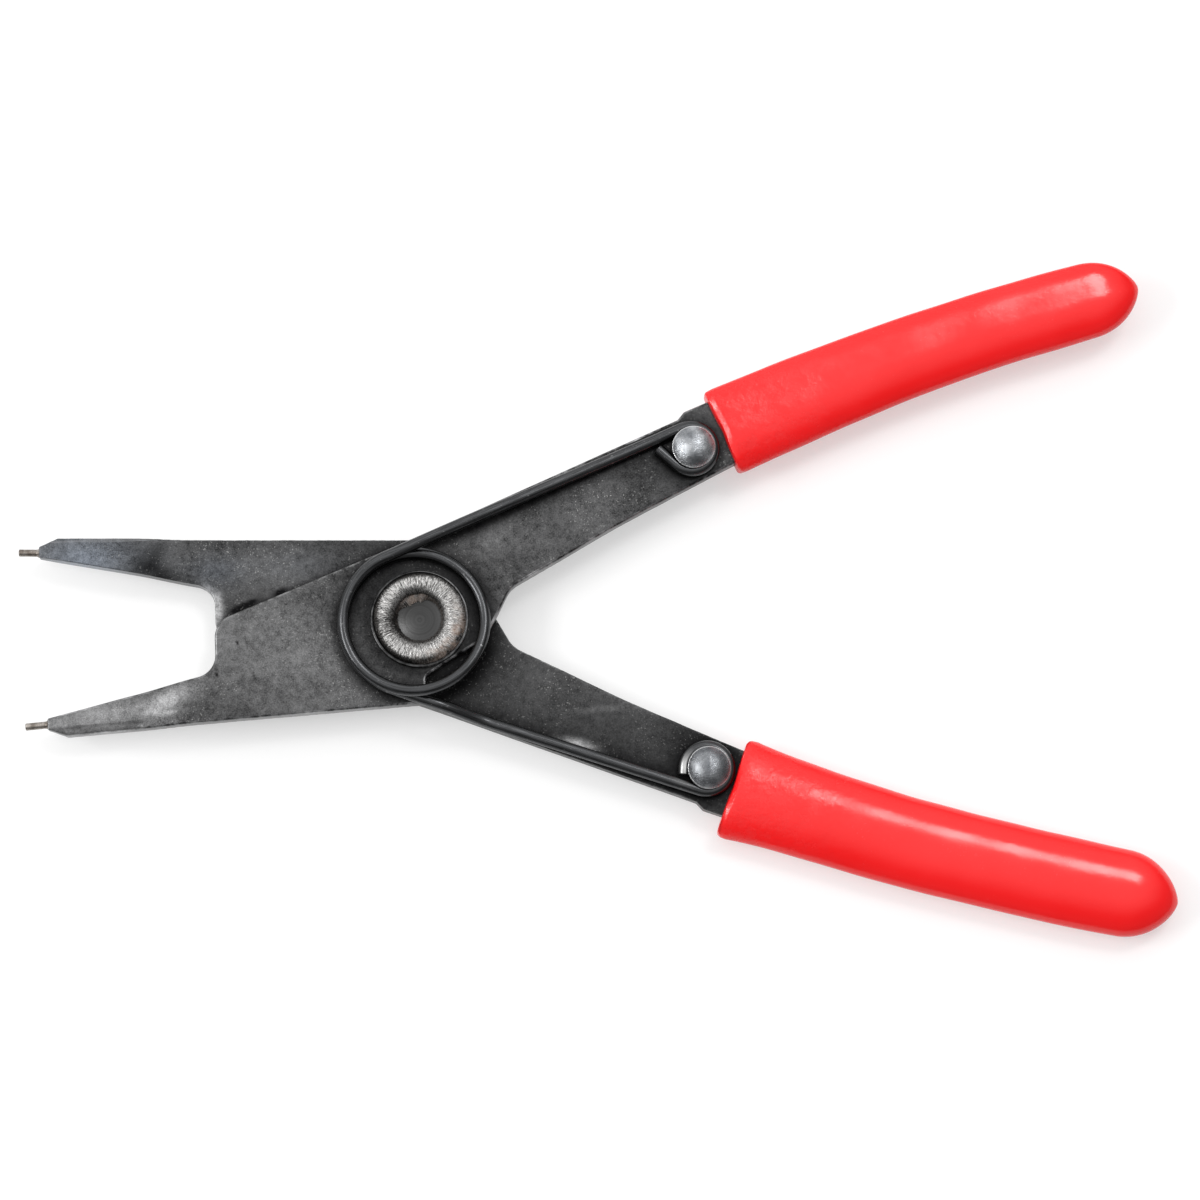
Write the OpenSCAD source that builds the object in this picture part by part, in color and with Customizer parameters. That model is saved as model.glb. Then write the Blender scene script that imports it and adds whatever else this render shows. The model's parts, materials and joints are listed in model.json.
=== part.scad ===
// Circlip pliers for internal rings: two lapped steel levers on a hollow rivet, a wire return spring
// held by two domed rivets, pressed tip pins and dipped vinyl grips.
// The pliers lie flat: +X runs from the pivot to the handles, +Y to the front lever's handle, +Z up.
// The origin is the pivot axis on the flat face of the pivot rivet's head. Millimetres and degrees.

/* [Levers] */
// Thickness of each lever's plate
plate_t = 3; // [2:0.1:4]
// Running gap between faces that turn on each other
play = 0.05; // [0.02:0.01:0.1]
// Pivot axis to the end of the nose
jaw_reach = 65.1; // [60:0.1:75]
// Distance between the two tip axes at the noses, levers at rest
tip_gap = 30; // [26:0.5:34]
// Slope of the tip pins against the centre line
tip_slope = 3.2; // [0:0.1:8]
// Width and height of the nose where the pin leaves it
nose_w = 1.9; // [1.8:0.1:2.4]
// Length of the tapered nose
nose_len = 3.4; // [2.5:0.1:5]
// Width of the jaw behind the nose
jaw_tip_w = 3.9; // [3.4:0.1:5]
// Pivot axis to the bottom of the notch between the jaws
notch_x = 35.2; // [32:0.1:38]
// Half width of the notch at its bottom
notch_half = 7.6; // [6:0.1:9]
// Fillet between the jaw and the bottom of the notch
notch_fillet = 3; // [1.5:0.1:4]
// Pivot axis to the start of the bend that brings the jaw to the parting plane
joggle_start = 40; // [39:0.1:43]
// Length of that bend
joggle_len = 8; // [5:0.1:10]
// Centre line to the jaw's outer edge, beside the pivot
jaw_depth = 14.5; // [13:0.1:16]
// Width of the coined bevel along the jaw's outer edge
bevel_w = 1.6; // [0.8:0.1:2]
// Depth of that bevel
bevel_d = 0.6; // [0.3:0.1:1]

/* [Handles] */
// Slope of the handle where the grip starts
handle_angle = 21.3; // [18:0.1:25]
// Pivot axis to the grip's mouth, along the centre line
mouth_x = 53.6; // [50:0.1:58]
// Centre line to the middle of the grip's mouth
mouth_y = 30.7; // [28:0.1:34]
// Radius of the handle's bend
handle_bend_r = 550; // [400:10:900]
// Width of the tang at the mouth
tang_w = 11.8; // [10.5:0.1:13]
// Width of the tang at its end
tang_end_w = 9.4; // [8:0.1:11]
// Length of the tang inside the grip
tang_len = 70; // [60:0.5:72]
// Step from the handle's outer edge out to the tang
shoulder_step = 0.8; // [0.3:0.1:1.5]
// Pivot axis to the handle's outer edge, across the centre line
handle_depth = 14.4; // [13.5:0.1:16]
// Pivot axis to the plate's edge on the handle side
pivot_land = 8.8; // [8.6:0.1:10]
// Slope of that edge
land_angle = 30.5; // [26:0.5:34]
// Pivot axis to the crotch of the handles
crotch_x = 13.2; // [12:0.1:15]
// Slope of the plate's edge at the crotch
crotch_angle = 61.5; // [55:0.5:68]
// Pivot axis to the edge of the relief that the spring's back leg drops through
relief_x = 0.65; // [0.3:0.05:1.2]

/* [Pivot] */
// Radius of the pivot rivet's shank
shank_r = 5.5; // [5:0.1:6]
// Radius of the pivot rivet's flat head
head_r = 8.5; // [7:0.1:9.5]
// Thickness of that head
head_t = 2.6; // [1.5:0.1:3]
// Radius of the hollow in the rivet
hollow_r = 4; // [3.2:0.1:4.4]
// Outer radius of the rolled rim
rim_r = 8.05; // [7.2:0.05:8.4]
// Height of the rolled rim above the washer
rim_h = 1.9; // [1.2:0.1:2.6]
// Depth of the hollow below the top of the rim
hollow_depth = 3.2; // [2.4:0.1:5]
// Outer radius of the washer under the rim
washer_r = 8.45; // [8.1:0.05:8.6]
// Thickness of that washer
washer_t = 0.8; // [0.4:0.1:1.2]

/* [Spring] */
// Diameter of the spring wire
wire_d = 2; // [1.4:0.1:2.2]
// Mean radius of the coil round the pivot
coil_r = 12.1; // [11.2:0.1:12.6]
// How far the loose coil sits from the pivot towards the jaws
coil_shift_x = 0.9; // [0:0.1:1]
// How far it sits from the pivot towards the front jaw
coil_shift_y = 0.7; // [0:0.1:1]
// Gap between the wire and what it lies on
wire_gap = 0.1; // [0.05:0.01:0.2]
// Radius of the spring rivets' shanks
pin_r = 2.45; // [2:0.05:2.7]
// Radius of the spring rivets' domed heads
dome_r = 3.7; // [3.5:0.05:4.2]
// Height of those heads
dome_h = 1.9; // [1.2:0.1:2.5]
// Radius of the spring rivets' peened tails
peen_r = 3.5; // [3:0.1:4]
// Height of the peened tails
peen_h = 1; // [0.6:0.1:1.4]
// Pivot axis to the spring rivets, along the centre line
pin_x = 48.4; // [46:0.1:49]
// Centre line to the spring rivets
pin_y = 27.7; // [27:0.1:28.5]
// Slack of the hooks on the spring rivets' shanks
hook_slack = 0.35; // [0.1:0.05:0.5]
// Angle that the hook wraps round the front spring rivet
front_hook_turn = 246; // [225:1:250]
// Length of the straight end of the front hook
front_hook_tail = 4.2; // [3:0.1:4.2]
// Angle that the hook wraps round the back spring rivet
back_hook_turn = 269; // [225:1:272]
// Length of the straight end of the back hook
back_hook_tail = 2.5; // [1:0.1:2.6]

/* [Tips] */
// Radius of the tip pin that enters the ring's eye
tip_r = 0.62; // [0.45:0.01:0.75]
// Length of the tip pin outside the nose
tip_len = 3.5; // [2.5:0.1:5]
// Radius of the pin's shank inside the nose
tip_shank_r = 0.8; // [0.75:0.01:0.85]
// Length of that shank
tip_shank_len = 9; // [6:0.5:12]

/* [Grips] */
// Wall of the front lever's grip
front_grip_wall = 1.9; // [1.5:0.1:2.8]
// Wall of the back lever's grip
back_grip_wall = 2.6; // [1.5:0.1:2.8]
// How far the back grip's skin is thicker on its outer edge
back_grip_shift = 0.4; // [0:0.1:0.8]
// How much further than the front grip the back grip reaches towards the pivot
back_grip_lead = 0.7; // [0:0.1:0.9]
// Length of the grips beyond the end of the tang
grip_end = 7.1; // [5:0.1:9]
// Squareness of the grip's section: 2 is an ellipse
grip_square = 3.2; // [2.5:0.1:5]

/* [Hidden] */

$fn = 48;
steel = [0.16, 0.16, 0.17];
bright_steel = [0.55, 0.54, 0.53];
vinyl = [0.85, 0.06, 0.06];

fit_gap = 0.02;              // gap of a pressed or clinched fit
arc_step = 12;               // degrees between points on an outline's round corners
far = 3 * jaw_reach;         // longer than any piece, for cutting prisms
nose_offset = 0.3;           // tip axis to the middle of the jaw's width
nose_corner = 0.2;           // corner rounds of the lever's outline, from the nose round to the notch
jaw_corner = 0.6;
relief_fillet = 1.3;
land_round = 3;
crotch_fillet = 1.5;
tang_corner = tang_end_w * 0.45;
shoulder_round = 0.6;
notch_round = 4;
inner_jaw_corner = 0.5;
handle_taper = 5.7;          // slope of the handle's inner edge, past the handle's own
inner_bow = 0.55;            // how far that edge bows outwards at its middle
front_edge_drop = 0.7;       // how much flatter the outer edge runs ahead of the pivot than the handle
shoulder_len = 4.6;          // mouth to the shoulder in the handle's outer edge
shoulder_ramp = 1.5;         // length of that shoulder

// Heights: the parting plane lies between the two plates
parting_z = head_t + plate_t + play / 2;
face_z = play / 2;                                   // a plate's inner face, above the parting plane
plate_top = face_z + plate_t;                        // its outer face
washer_z = parting_z + plate_top + play;
rim_z = washer_z + washer_t;
front_wire_z = plate_top + wire_gap + wire_d / 2;    // wire on the front plate, above the parting plane
back_wire_z = -face_z + wire_gap + wire_d / 2;       // wire on the back plate
coil_pitch = wire_d + wire_gap;

// Handle centre line: an arc that starts at the grip's mouth and bends towards the centre line
bend_centre = [mouth_x, mouth_y] + handle_bend_r * [sin(handle_angle), -cos(handle_angle)];
function handle_slope(s) = handle_angle - s / handle_bend_r * 180 / PI;
function handle_normal(s) = [-sin(handle_slope(s)), cos(handle_slope(s))];
function handle_at(s, side) = bend_centre + (handle_bend_r + side) * handle_normal(s);
function tang_half(s) = (tang_w + (tang_end_w - tang_w) * s / tang_len) / 2;

// Outline points as [point, corner radius], with the plate on the left hand
nose_y = -tip_gap / 2;
nose_end = [-jaw_reach, nose_y];
outer_nose = nose_end + [nose_len, -jaw_tip_w / 2 - nose_offset];
inner_nose = nose_end + [nose_len, jaw_tip_w / 2 - nose_offset];
land_point = pivot_land * [sin(land_angle), -cos(land_angle)];
relief_top = land_point[1] + (relief_x - land_point[0]) * tan(land_angle);
land_end = cross_lines(land_point, land_angle, [crotch_x, 0], crotch_angle);
handle_inner = handle_at(0, -tang_half(0));
inner_edge_angle = handle_angle + handle_taper;
crotch = cross_lines([crotch_x, 0], crotch_angle, handle_inner, inner_edge_angle);
inner_mid = (crotch + handle_inner) / 2 + inner_bow * [-sin(inner_edge_angle), cos(inner_edge_angle)];
shoulder = handle_at(-shoulder_len, tang_half(0));
shoulder_foot = handle_at(-shoulder_len - shoulder_ramp, tang_half(0) - shoulder_step);
notch_corner = [-notch_x, handle_depth - notch_x * tan(handle_angle - front_edge_drop)];
tang_steps = 7;
tang_stations = [for (i = [0:tang_steps]) i / tang_steps * (tang_len - tang_end_w / 2)];

lever_corners = concat(
    [
        [nose_end + [0, -nose_w / 2], nose_corner],
        [outer_nose, jaw_corner],
        [[relief_x, -jaw_depth], jaw_corner],
        [[relief_x, relief_top], relief_fillet],
        [land_end, land_round],
        [crotch, crotch_fillet],
        [inner_mid, 0],
        [handle_inner, 0]
    ],
    [for (s = tang_stations) if (s > 0) [handle_at(s, -tang_half(s)), 0]],
    [[handle_at(tang_len, -tang_half(tang_len)), tang_corner]],
    [[handle_at(tang_len, tang_half(tang_len)), tang_corner]],
    [for (i = [len(tang_stations) - 1:-1:0]) [handle_at(tang_stations[i], tang_half(tang_stations[i])), 0]],
    [
        [shoulder, shoulder_round],
        [shoulder_foot, shoulder_round],
        [[0, handle_depth], 0],
        [notch_corner, notch_round],
        [[-notch_x, -notch_half], notch_fillet],
        [inner_nose, inner_jaw_corner],
        [nose_end + [0, nose_w / 2], nose_corner]
    ]
);

// Point where the line through a at angle ta meets the line through b at angle tb
function cross_lines(a, ta, b, tb) =
    let (da = [cos(ta), sin(ta)], db = [cos(tb), sin(tb)], d = b - a)
    a + da * (d[0] * db[1] - d[1] * db[0]) / (da[0] * db[1] - da[1] * db[0]);

// A corner's own arc: tangent to both edges, or the bare point where the radius is 0
function corner_arc(before, at, after, r) =
    r == 0 ? [at] :
    let (
        u = (before - at) / norm(before - at),
        v = (after - at) / norm(after - at),
        half = acos(u * v) / 2,
        centre = at + (u + v) / norm(u + v) * r / sin(half),
        start = at + u * r / tan(half) - centre,
        turn = (90 - half) * 2 * sign(start[0] * v[1] - start[1] * v[0]),
        count = max(2, ceil(abs(turn) / arc_step))
    )
    [for (i = [0:count]) let (a = turn * i / count)
        centre + [start[0] * cos(a) - start[1] * sin(a), start[0] * sin(a) + start[1] * cos(a)]];

function rounded(corners) =
    let (n = len(corners))
    [for (i = [0:n - 1])
        each corner_arc(corners[(i + n - 1) % n][0], corners[i][0], corners[(i + 1) % n][0], corners[i][1])];

// Tube swept along a path: rings of sides points, closed at both ends
function ring_frame(path, i) =
    let (
        last = len(path) - 1,
        t = path[min(i + 1, last)] - path[max(i - 1, 0)],
        along = t / norm(t),
        side = cross([0, 0, 1], along),
        across = side / norm(side)
    )
    [across, cross(along, across)];

module tube(path, radius, sides) {
    rings = len(path);
    points = [for (i = [0:rings - 1]) let (f = ring_frame(path, i)) for (k = [0:sides - 1])
        path[i] + radius * (f[0] * cos(360 * k / sides) + f[1] * sin(360 * k / sides))];
    skin(points, rings, sides);
}

// Closed skin over rings of points that run the same way round
module skin(points, rings, sides) {
    walls = [for (i = [0:rings - 2], k = [0:sides - 1]) let (m = (k + 1) % sides)
        each [
            [i * sides + k, (i + 1) * sides + k, i * sides + m],
            [i * sides + m, (i + 1) * sides + k, (i + 1) * sides + m]
        ]];
    first_cap = [[for (k = [0:sides - 1]) k]];
    last_cap = [[for (k = [sides - 1:-1:0]) (rings - 1) * sides + k]];
    polyhedron(points, concat(first_cap, walls, last_cap), convexity = 8);
}

// Lever in its own frame: its inner face lies just above the parting plane z = 0
module lever_side() {
    past = nose_len;
    end_x = -jaw_reach - past;
    tip_x = -jaw_reach + nose_len;
    bend_out = -joggle_start - joggle_len;
    reach = mouth_x + tang_len + grip_end;
    half = plate_t / 2;
    end_half = nose_w / 2 - (half - nose_w / 2) * past / nose_len;
    rotate([90, 0, 0])
        linear_extrude(far, center = true)
            polygon([
                [end_x, -end_half], [tip_x, -half], [bend_out, -half],
                [-joggle_start, face_z], [reach, face_z],
                [reach, plate_top], [-joggle_start, plate_top],
                [bend_out, half], [tip_x, half], [end_x, end_half]
            ]);
}

// Bevel coined along the outer edge of the jaw, on the face away from the parting plane
module jaw_bevel() {
    edge = [relief_x, -jaw_depth] - outer_nose;
    slope = atan2(edge[1], edge[0]);
    start = -nose_len * 2;
    length = jaw_reach - joggle_start - joggle_len + nose_len;
    past = bevel_w;
    past_d = bevel_d * (bevel_w + past) / bevel_w;
    translate([outer_nose[0], outer_nose[1], plate_t / 2])
        rotate([0, 0, slope])
            translate([start, 0, 0])
                rotate([90, 0, 90])
                    linear_extrude(length)
                        polygon([[-past, past], [-past, -past_d], [bevel_w, 0], [bevel_w, past]]);
}

module tip_axis() {
    translate([nose_end[0], nose_end[1], 0])
        rotate([0, 0, 180 + tip_slope])
            rotate([0, 90, 0])
                children();
}

module lever_plate() {
    difference() {
        intersection() {
            linear_extrude(far, center = true)
                polygon(rounded(lever_corners));
            lever_side();
        }
        jaw_bevel();
        cylinder(far, r = shank_r + play, center = true);
        translate([pin_x, pin_y, 0])
            cylinder(far, r = pin_r + fit_gap, center = true);
        tip_axis()
            translate([0, 0, -tip_shank_len - fit_gap])
                cylinder(tip_shank_len + nose_len, r = tip_shank_r + fit_gap);
    }
}

// Pin with a shank pressed into the nose and a finer end outside it, chamfered at the point
module tip_pin() {
    chamfer = tip_r * 0.3;
    tip_axis()
        rotate_extrude()
            polygon([
                [0, -tip_shank_len], [tip_shank_r, -tip_shank_len], [tip_shank_r, 0], [tip_r, 0],
                [tip_r, tip_len - chamfer], [tip_r - chamfer, tip_len], [0, tip_len]
            ]);
}

// Domed rivet that holds a spring hook: wire_z is the wire's height, plate_low the plate's far face
module spring_rivet(wire_z, plate_low) {
    head_z = wire_z + wire_d / 2 + wire_gap;
    edge = dome_h * 0.2;
    peen_taper = peen_h * 0.4;
    dome = dome_h - edge;
    sphere_r = (dome_r * dome_r + dome * dome) / (2 * dome);
    translate([pin_x, pin_y, 0]) {
        translate([0, 0, plate_low - peen_h])
            cylinder(head_z + edge / 2 - plate_low + peen_h, r = pin_r);
        translate([0, 0, plate_low - peen_h])
            cylinder(peen_h, r1 = peen_r - peen_taper, r2 = peen_r);
        translate([0, 0, head_z])
            cylinder(edge, r = dome_r);
        intersection() {
            translate([0, 0, head_z + dome_h - sphere_r])
                sphere(sphere_r);
            translate([0, 0, head_z + edge])
                cylinder(dome_h, r = dome_r);
        }
    }
}

// Dipped grip on the tang of a lever: shift moves its skin outwards, lead moves its mouth to the pivot
module grip(wall, shift, lead) {
    sides = 28;
    lip = 0.7;
    body_steps = 14;
    end_steps = 8;
    last_angle = 88;
    end_blunt = 0.8;             // how bluntly the end closes in thickness
    plate_mid = face_z + plate_t / 2;
    length = tang_len + grip_end;
    round_len = tang_end_w / 2 + wall;
    body = [for (i = [0:body_steps]) lip - lead + (length - round_len - lip + lead) * i / body_steps];
    end = [for (i = [1:end_steps]) length - round_len + round_len * sin(i / end_steps * last_angle)];
    stations = concat([-lead], body, end);
    mouth = -lead - lip;
    points = [for (s = stations)
        let (
            fade = s > length - round_len ? sqrt(1 - pow((s - length + round_len) / round_len, 2)) : 1,
            shrink = s < lip - lead ? lip / 2 : 0,
            half_w = (tang_half(max(0, min(s, tang_len))) + wall) * fade - shrink,
            half_t = (plate_t / 2 + wall) * pow(fade, end_blunt) - shrink
        )
        for (k = [0:sides - 1])
            let (
                a = -360 * k / sides,
                side = half_w * sign(cos(a)) * pow(abs(cos(a)), 2 / grip_square),
                up = half_t * sign(sin(a)) * pow(abs(sin(a)), 2 / grip_square),
                p = handle_at(s, side + shift)
            )
            [p[0], p[1], plate_mid + up]];
    difference() {
        skin(points, len(stations), sides);
        translate([0, 0, plate_mid - plate_t / 2 - fit_gap])
            linear_extrude(plate_t + 2 * fit_gap)
                polygon(concat(
                    [for (s = concat([mouth], tang_stations)) handle_at(s, -tang_half(s) - fit_gap)],
                    [handle_at(tang_len + fit_gap, -tang_half(tang_len))],
                    [handle_at(tang_len + fit_gap, tang_half(tang_len))],
                    [for (i = [len(tang_stations) - 1:-1:0])
                        handle_at(tang_stations[i], tang_half(tang_stations[i]) + fit_gap)],
                    [handle_at(mouth, tang_half(mouth) + fit_gap)]
                ));
    }
}

// Spring path, above the parting plane: front hook, front leg, coil, back leg, back hook
coil_centre = [-coil_shift_x, -coil_shift_y];
hook_r = pin_r + wire_gap + hook_slack + wire_d / 2;

// Slope of the leg that touches the coil and the hook on their outer sides
function leg_slope(hook) =
    let (d = hook - coil_centre)
    atan2(abs(d[1]), d[0]) - asin((coil_r - hook_r) / norm(d));
front_hook = [pin_x - hook_slack, pin_y];
back_hook = [pin_x - hook_slack, -pin_y];
front_slope = leg_slope(front_hook);
back_slope = leg_slope(back_hook);
front_leave = coil_centre + coil_r * [-sin(front_slope), cos(front_slope)];
back_leave = coil_centre + coil_r * [-sin(back_slope), -cos(back_slope)];
front_leg = norm(front_hook + hook_r * [-sin(front_slope), cos(front_slope)] - front_leave);
back_leg = norm(back_hook + hook_r * [-sin(back_slope), -cos(back_slope)] - back_leave);
coil_turn = 540 - front_slope - back_slope;
climb_from = 200;                 // where the coil starts to climb over its first turn
climb_to = 325;                   // where it has climbed
leg_clear = coil_r * 0.75;        // length of front leg that still lies over the coil
leg_landing = 0.95;               // share of the front leg after which it lies on the plate
relief_clear = 0.4;               // gap between the relief's edge and the wire that drops past it
drop_from = (relief_x + wire_d / 2 + relief_clear - back_leave[0]) / cos(back_slope);
drop_len = 10;                    // length over which the back leg drops to the back plate
hook_steps = 18;                  // rings along each hook, tail, leg and the coil
tail_steps = 3;
front_leg_steps = 12;
back_leg_steps = 16;
coil_steps = 48;
wire_sides = 12;

function smooth(t) = let (c = min(1, max(0, t))) c * c * (3 - 2 * c);
function lift(p, z) = [p[0], p[1], z];

front_hook_path = [for (i = [0:hook_steps])
    let (a = 90 + front_slope - front_hook_turn * (1 - i / hook_steps))
    lift(front_hook + hook_r * [cos(a), sin(a)], front_wire_z)];
front_tail_dir = let (a = 90 + front_slope - front_hook_turn) [sin(a), -cos(a)];
front_tail_path = [for (i = [tail_steps:-1:1])
    front_hook_path[0] + lift(front_tail_dir * front_hook_tail * i / tail_steps, 0)];
front_leg_path = [for (i = [front_leg_steps - 1:-1:1])
    let (s = front_leg * i / front_leg_steps)
    lift(front_leave + s * [cos(front_slope), sin(front_slope)],
        front_wire_z + coil_pitch * (1 - smooth((s - leg_clear) / (front_leg * leg_landing - leg_clear))))];
coil_path = [for (i = [0:coil_steps])
    let (f = coil_turn * (1 - i / coil_steps), a = 270 - back_slope - f)
    lift(coil_centre + coil_r * [cos(a), sin(a)],
        front_wire_z + coil_pitch * smooth((f - climb_from) / (climb_to - climb_from)))];
back_leg_path = [for (i = [1:back_leg_steps - 1])
    let (s = back_leg * i / back_leg_steps)
    lift(back_leave + s * [cos(back_slope), -sin(back_slope)],
        front_wire_z + (back_wire_z - front_wire_z) * smooth((s - drop_from) / drop_len))];
back_hook_path = [for (i = [0:hook_steps])
    let (a = -90 - back_slope + back_hook_turn * i / hook_steps)
    lift(back_hook + hook_r * [cos(a), sin(a)], back_wire_z)];
back_tail_dir = let (a = -90 - back_slope + back_hook_turn) [-sin(a), cos(a)];
back_tail_path = [for (i = [1:tail_steps])
    back_hook_path[hook_steps] + lift(back_tail_dir * back_hook_tail * i / tail_steps, 0)];
spring_path = concat(front_tail_path, front_hook_path, front_leg_path, coil_path,
    back_leg_path, back_hook_path, back_tail_path);

module in_front() { translate([0, 0, parting_z]) children(); }
module at_back() { translate([0, 0, parting_z]) rotate([180, 0, 0]) children(); }

module front_lever_plate() { color(steel) in_front() lever_plate(); }
module back_lever_plate() { color(steel) at_back() lever_plate(); }
module front_tip_pin() { color(bright_steel) in_front() tip_pin(); }
module back_tip_pin() { color(bright_steel) at_back() tip_pin(); }

// Semi-tubular rivet: flat head at the back, hollow end rolled out over the washer at the front
module pivot_rivet() {
    rim_mid = (rim_r + hollow_r) / 2;
    rim_half = (rim_r - hollow_r) / 2;
    rim_seat = 0.35;             // share of the rim's height below its widest ring
    rim_from = -20;
    rim_sweep = 200;
    rim_steps = 14;
    edge = head_t * 0.25;
    floor_round = 0.3;
    hollow_z = rim_z + rim_h - hollow_depth;
    color(bright_steel)
        rotate_extrude()
            polygon(concat(
                [
                    [0, 0], [head_r - edge, 0], [head_r, edge], [head_r, head_t], [shank_r, head_t],
                    [shank_r, rim_z], [rim_mid + rim_half / 2, rim_z]
                ],
                [for (i = [0:rim_steps])
                    let (a = rim_from + rim_sweep * i / rim_steps)
                    [rim_mid + rim_half * cos(a), rim_z + rim_h * (rim_seat + (1 - rim_seat) * sin(a))]],
                [[hollow_r, hollow_z + floor_round], [hollow_r - floor_round, hollow_z], [0, hollow_z]]
            ));
}

module pivot_washer() {
    edge = washer_t * 0.25;
    color(steel)
        translate([0, 0, washer_z])
            rotate_extrude()
                polygon([
                    [shank_r + play, 0], [washer_r, 0], [washer_r, washer_t - edge],
                    [washer_r - edge, washer_t], [shank_r + play, washer_t]
                ]);
}

module return_spring() { color(steel) in_front() tube(spring_path, wire_d / 2, wire_sides); }

module front_spring_rivet() {
    color(bright_steel) in_front() spring_rivet(front_wire_z, face_z);
}

module back_spring_rivet() {
    color(bright_steel) in_front() mirror([0, 1, 0]) spring_rivet(back_wire_z, -plate_top);
}

module front_grip() { color(vinyl) in_front() grip(front_grip_wall, 0, 0); }
module back_grip() { color(vinyl) at_back() grip(back_grip_wall, back_grip_shift, back_grip_lead); }

front_lever_plate();
back_lever_plate();
pivot_rivet();
pivot_washer();
return_spring();
front_spring_rivet();
back_spring_rivet();
front_tip_pin();
back_tip_pin();
front_grip();
back_grip();
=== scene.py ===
# %% [markdown]
# # Circlip pliers
# The CAD frame brings eleven plain solids. This lesson dresses each of them: a piece is worked out as
# arrays of points, put into a mesh, given a finish, and tied to the lever that it moves with.

# %% Load the frame
import json
import bpy
import numpy as np
from mathutils import Matrix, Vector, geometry


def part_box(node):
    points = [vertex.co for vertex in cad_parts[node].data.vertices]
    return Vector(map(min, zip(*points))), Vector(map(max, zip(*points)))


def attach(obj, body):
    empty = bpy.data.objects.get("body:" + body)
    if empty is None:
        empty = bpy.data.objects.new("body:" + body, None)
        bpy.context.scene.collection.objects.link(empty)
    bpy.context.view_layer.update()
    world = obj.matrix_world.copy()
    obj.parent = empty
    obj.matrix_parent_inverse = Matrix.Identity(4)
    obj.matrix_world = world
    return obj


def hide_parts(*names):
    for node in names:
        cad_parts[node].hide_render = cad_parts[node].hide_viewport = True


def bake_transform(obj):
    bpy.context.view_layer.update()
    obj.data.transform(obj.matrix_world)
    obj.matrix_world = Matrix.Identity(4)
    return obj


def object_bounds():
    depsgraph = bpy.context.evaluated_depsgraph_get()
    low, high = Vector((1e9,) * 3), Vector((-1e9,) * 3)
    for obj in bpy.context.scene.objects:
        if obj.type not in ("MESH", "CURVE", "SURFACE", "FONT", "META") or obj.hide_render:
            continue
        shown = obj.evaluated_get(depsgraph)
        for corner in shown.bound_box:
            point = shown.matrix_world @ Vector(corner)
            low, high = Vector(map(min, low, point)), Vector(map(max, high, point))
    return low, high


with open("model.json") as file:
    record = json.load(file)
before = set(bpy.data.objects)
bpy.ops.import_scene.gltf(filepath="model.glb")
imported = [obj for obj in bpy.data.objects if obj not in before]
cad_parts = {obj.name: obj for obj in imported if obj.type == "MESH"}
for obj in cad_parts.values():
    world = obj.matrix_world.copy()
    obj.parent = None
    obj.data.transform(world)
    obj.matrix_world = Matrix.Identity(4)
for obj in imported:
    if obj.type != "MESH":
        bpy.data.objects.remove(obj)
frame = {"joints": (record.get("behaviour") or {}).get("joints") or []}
cad_low, cad_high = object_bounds()

MM = 0.001
HINGE = frame["joints"][0]
PARTING = HINGE["pos_m"][2] / MM

# %% [markdown]
# ## From arrays to a mesh
# Most pieces of the pliers are rings of points carried along something: a wire along its path, a rivet
# round its axis, a grip along its handle. So one function closes a stack of rings into a skin, and
# another turns the arrays into a mesh. Modelling by hand with bmesh would work as well, but arrays keep
# the formula of the shape in view.


# %% Rings to a skin
def unit(vectors):
    """Each vector divided by its own length."""
    return vectors / np.linalg.norm(vectors, axis=-1, keepdims=True)


def round_angles(sides):
    """Even angles once round, without the closing one."""
    return np.linspace(0, 2 * np.pi, sides, endpoint=False)


def skin(rings, loop=False):
    """Quads between each ring and the next. Open ends close in a fan of triangles to the ring's middle.
    The third array gives each point its turn round the ring, as cosine and sine, and its way along."""
    count, sides = rings.shape[:2]
    index = np.arange(count * sides).reshape(count, sides)
    lower = index if loop else index[:-1]
    upper = np.roll(index, -1, 0) if loop else index[1:]
    quads = np.stack([lower, np.roll(lower, -1, 1), np.roll(upper, -1, 1), upper], -1).reshape(-1, 4)
    turn = round_angles(sides)
    way = np.concatenate([[0], np.cumsum(np.linalg.norm(np.diff(rings[:, 0], axis=0), axis=1))])
    lay = np.stack(np.broadcast_arrays(np.cos(turn), np.sin(turn), way[:, None]), -1).reshape(-1, 3)
    points = rings.reshape(-1, 3)
    if loop:
        return points, [quads], lay
    first, last = len(points), len(points) + 1
    start, end = index[0], index[-1]
    fans = np.concatenate([
        np.stack([np.full(sides, first), np.roll(start, -1), start], -1),
        np.stack([np.full(sides, last), end, np.roll(end, -1)], -1),
    ])
    points = np.vstack([points, rings[0].mean(0), rings[-1].mean(0)])
    lay = np.vstack([lay, [0, 0, 0], [0, 0, way[-1]]])
    return points, [quads, fans], lay


# %% Arrays to a piece
SHARP = np.radians(38)


def volume(points, faces):
    """Sum over all triangles of a dot (b cross c) over 6: above zero where the faces look outwards."""
    total = 0.0
    for block in faces:
        for k in range(1, block.shape[1] - 1):
            a, b, c = points[block[:, 0]], points[block[:, k]], points[block[:, k + 1]]
            total += np.einsum("ij,ij->", a, np.cross(b, c)) / 6
    return total


def into_scene(name, data):
    """New object at the origin for a mesh, a lamp or a camera, linked to the scene."""
    thing = bpy.data.objects.new(name, data)
    bpy.context.scene.collection.objects.link(thing)
    return thing


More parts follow.
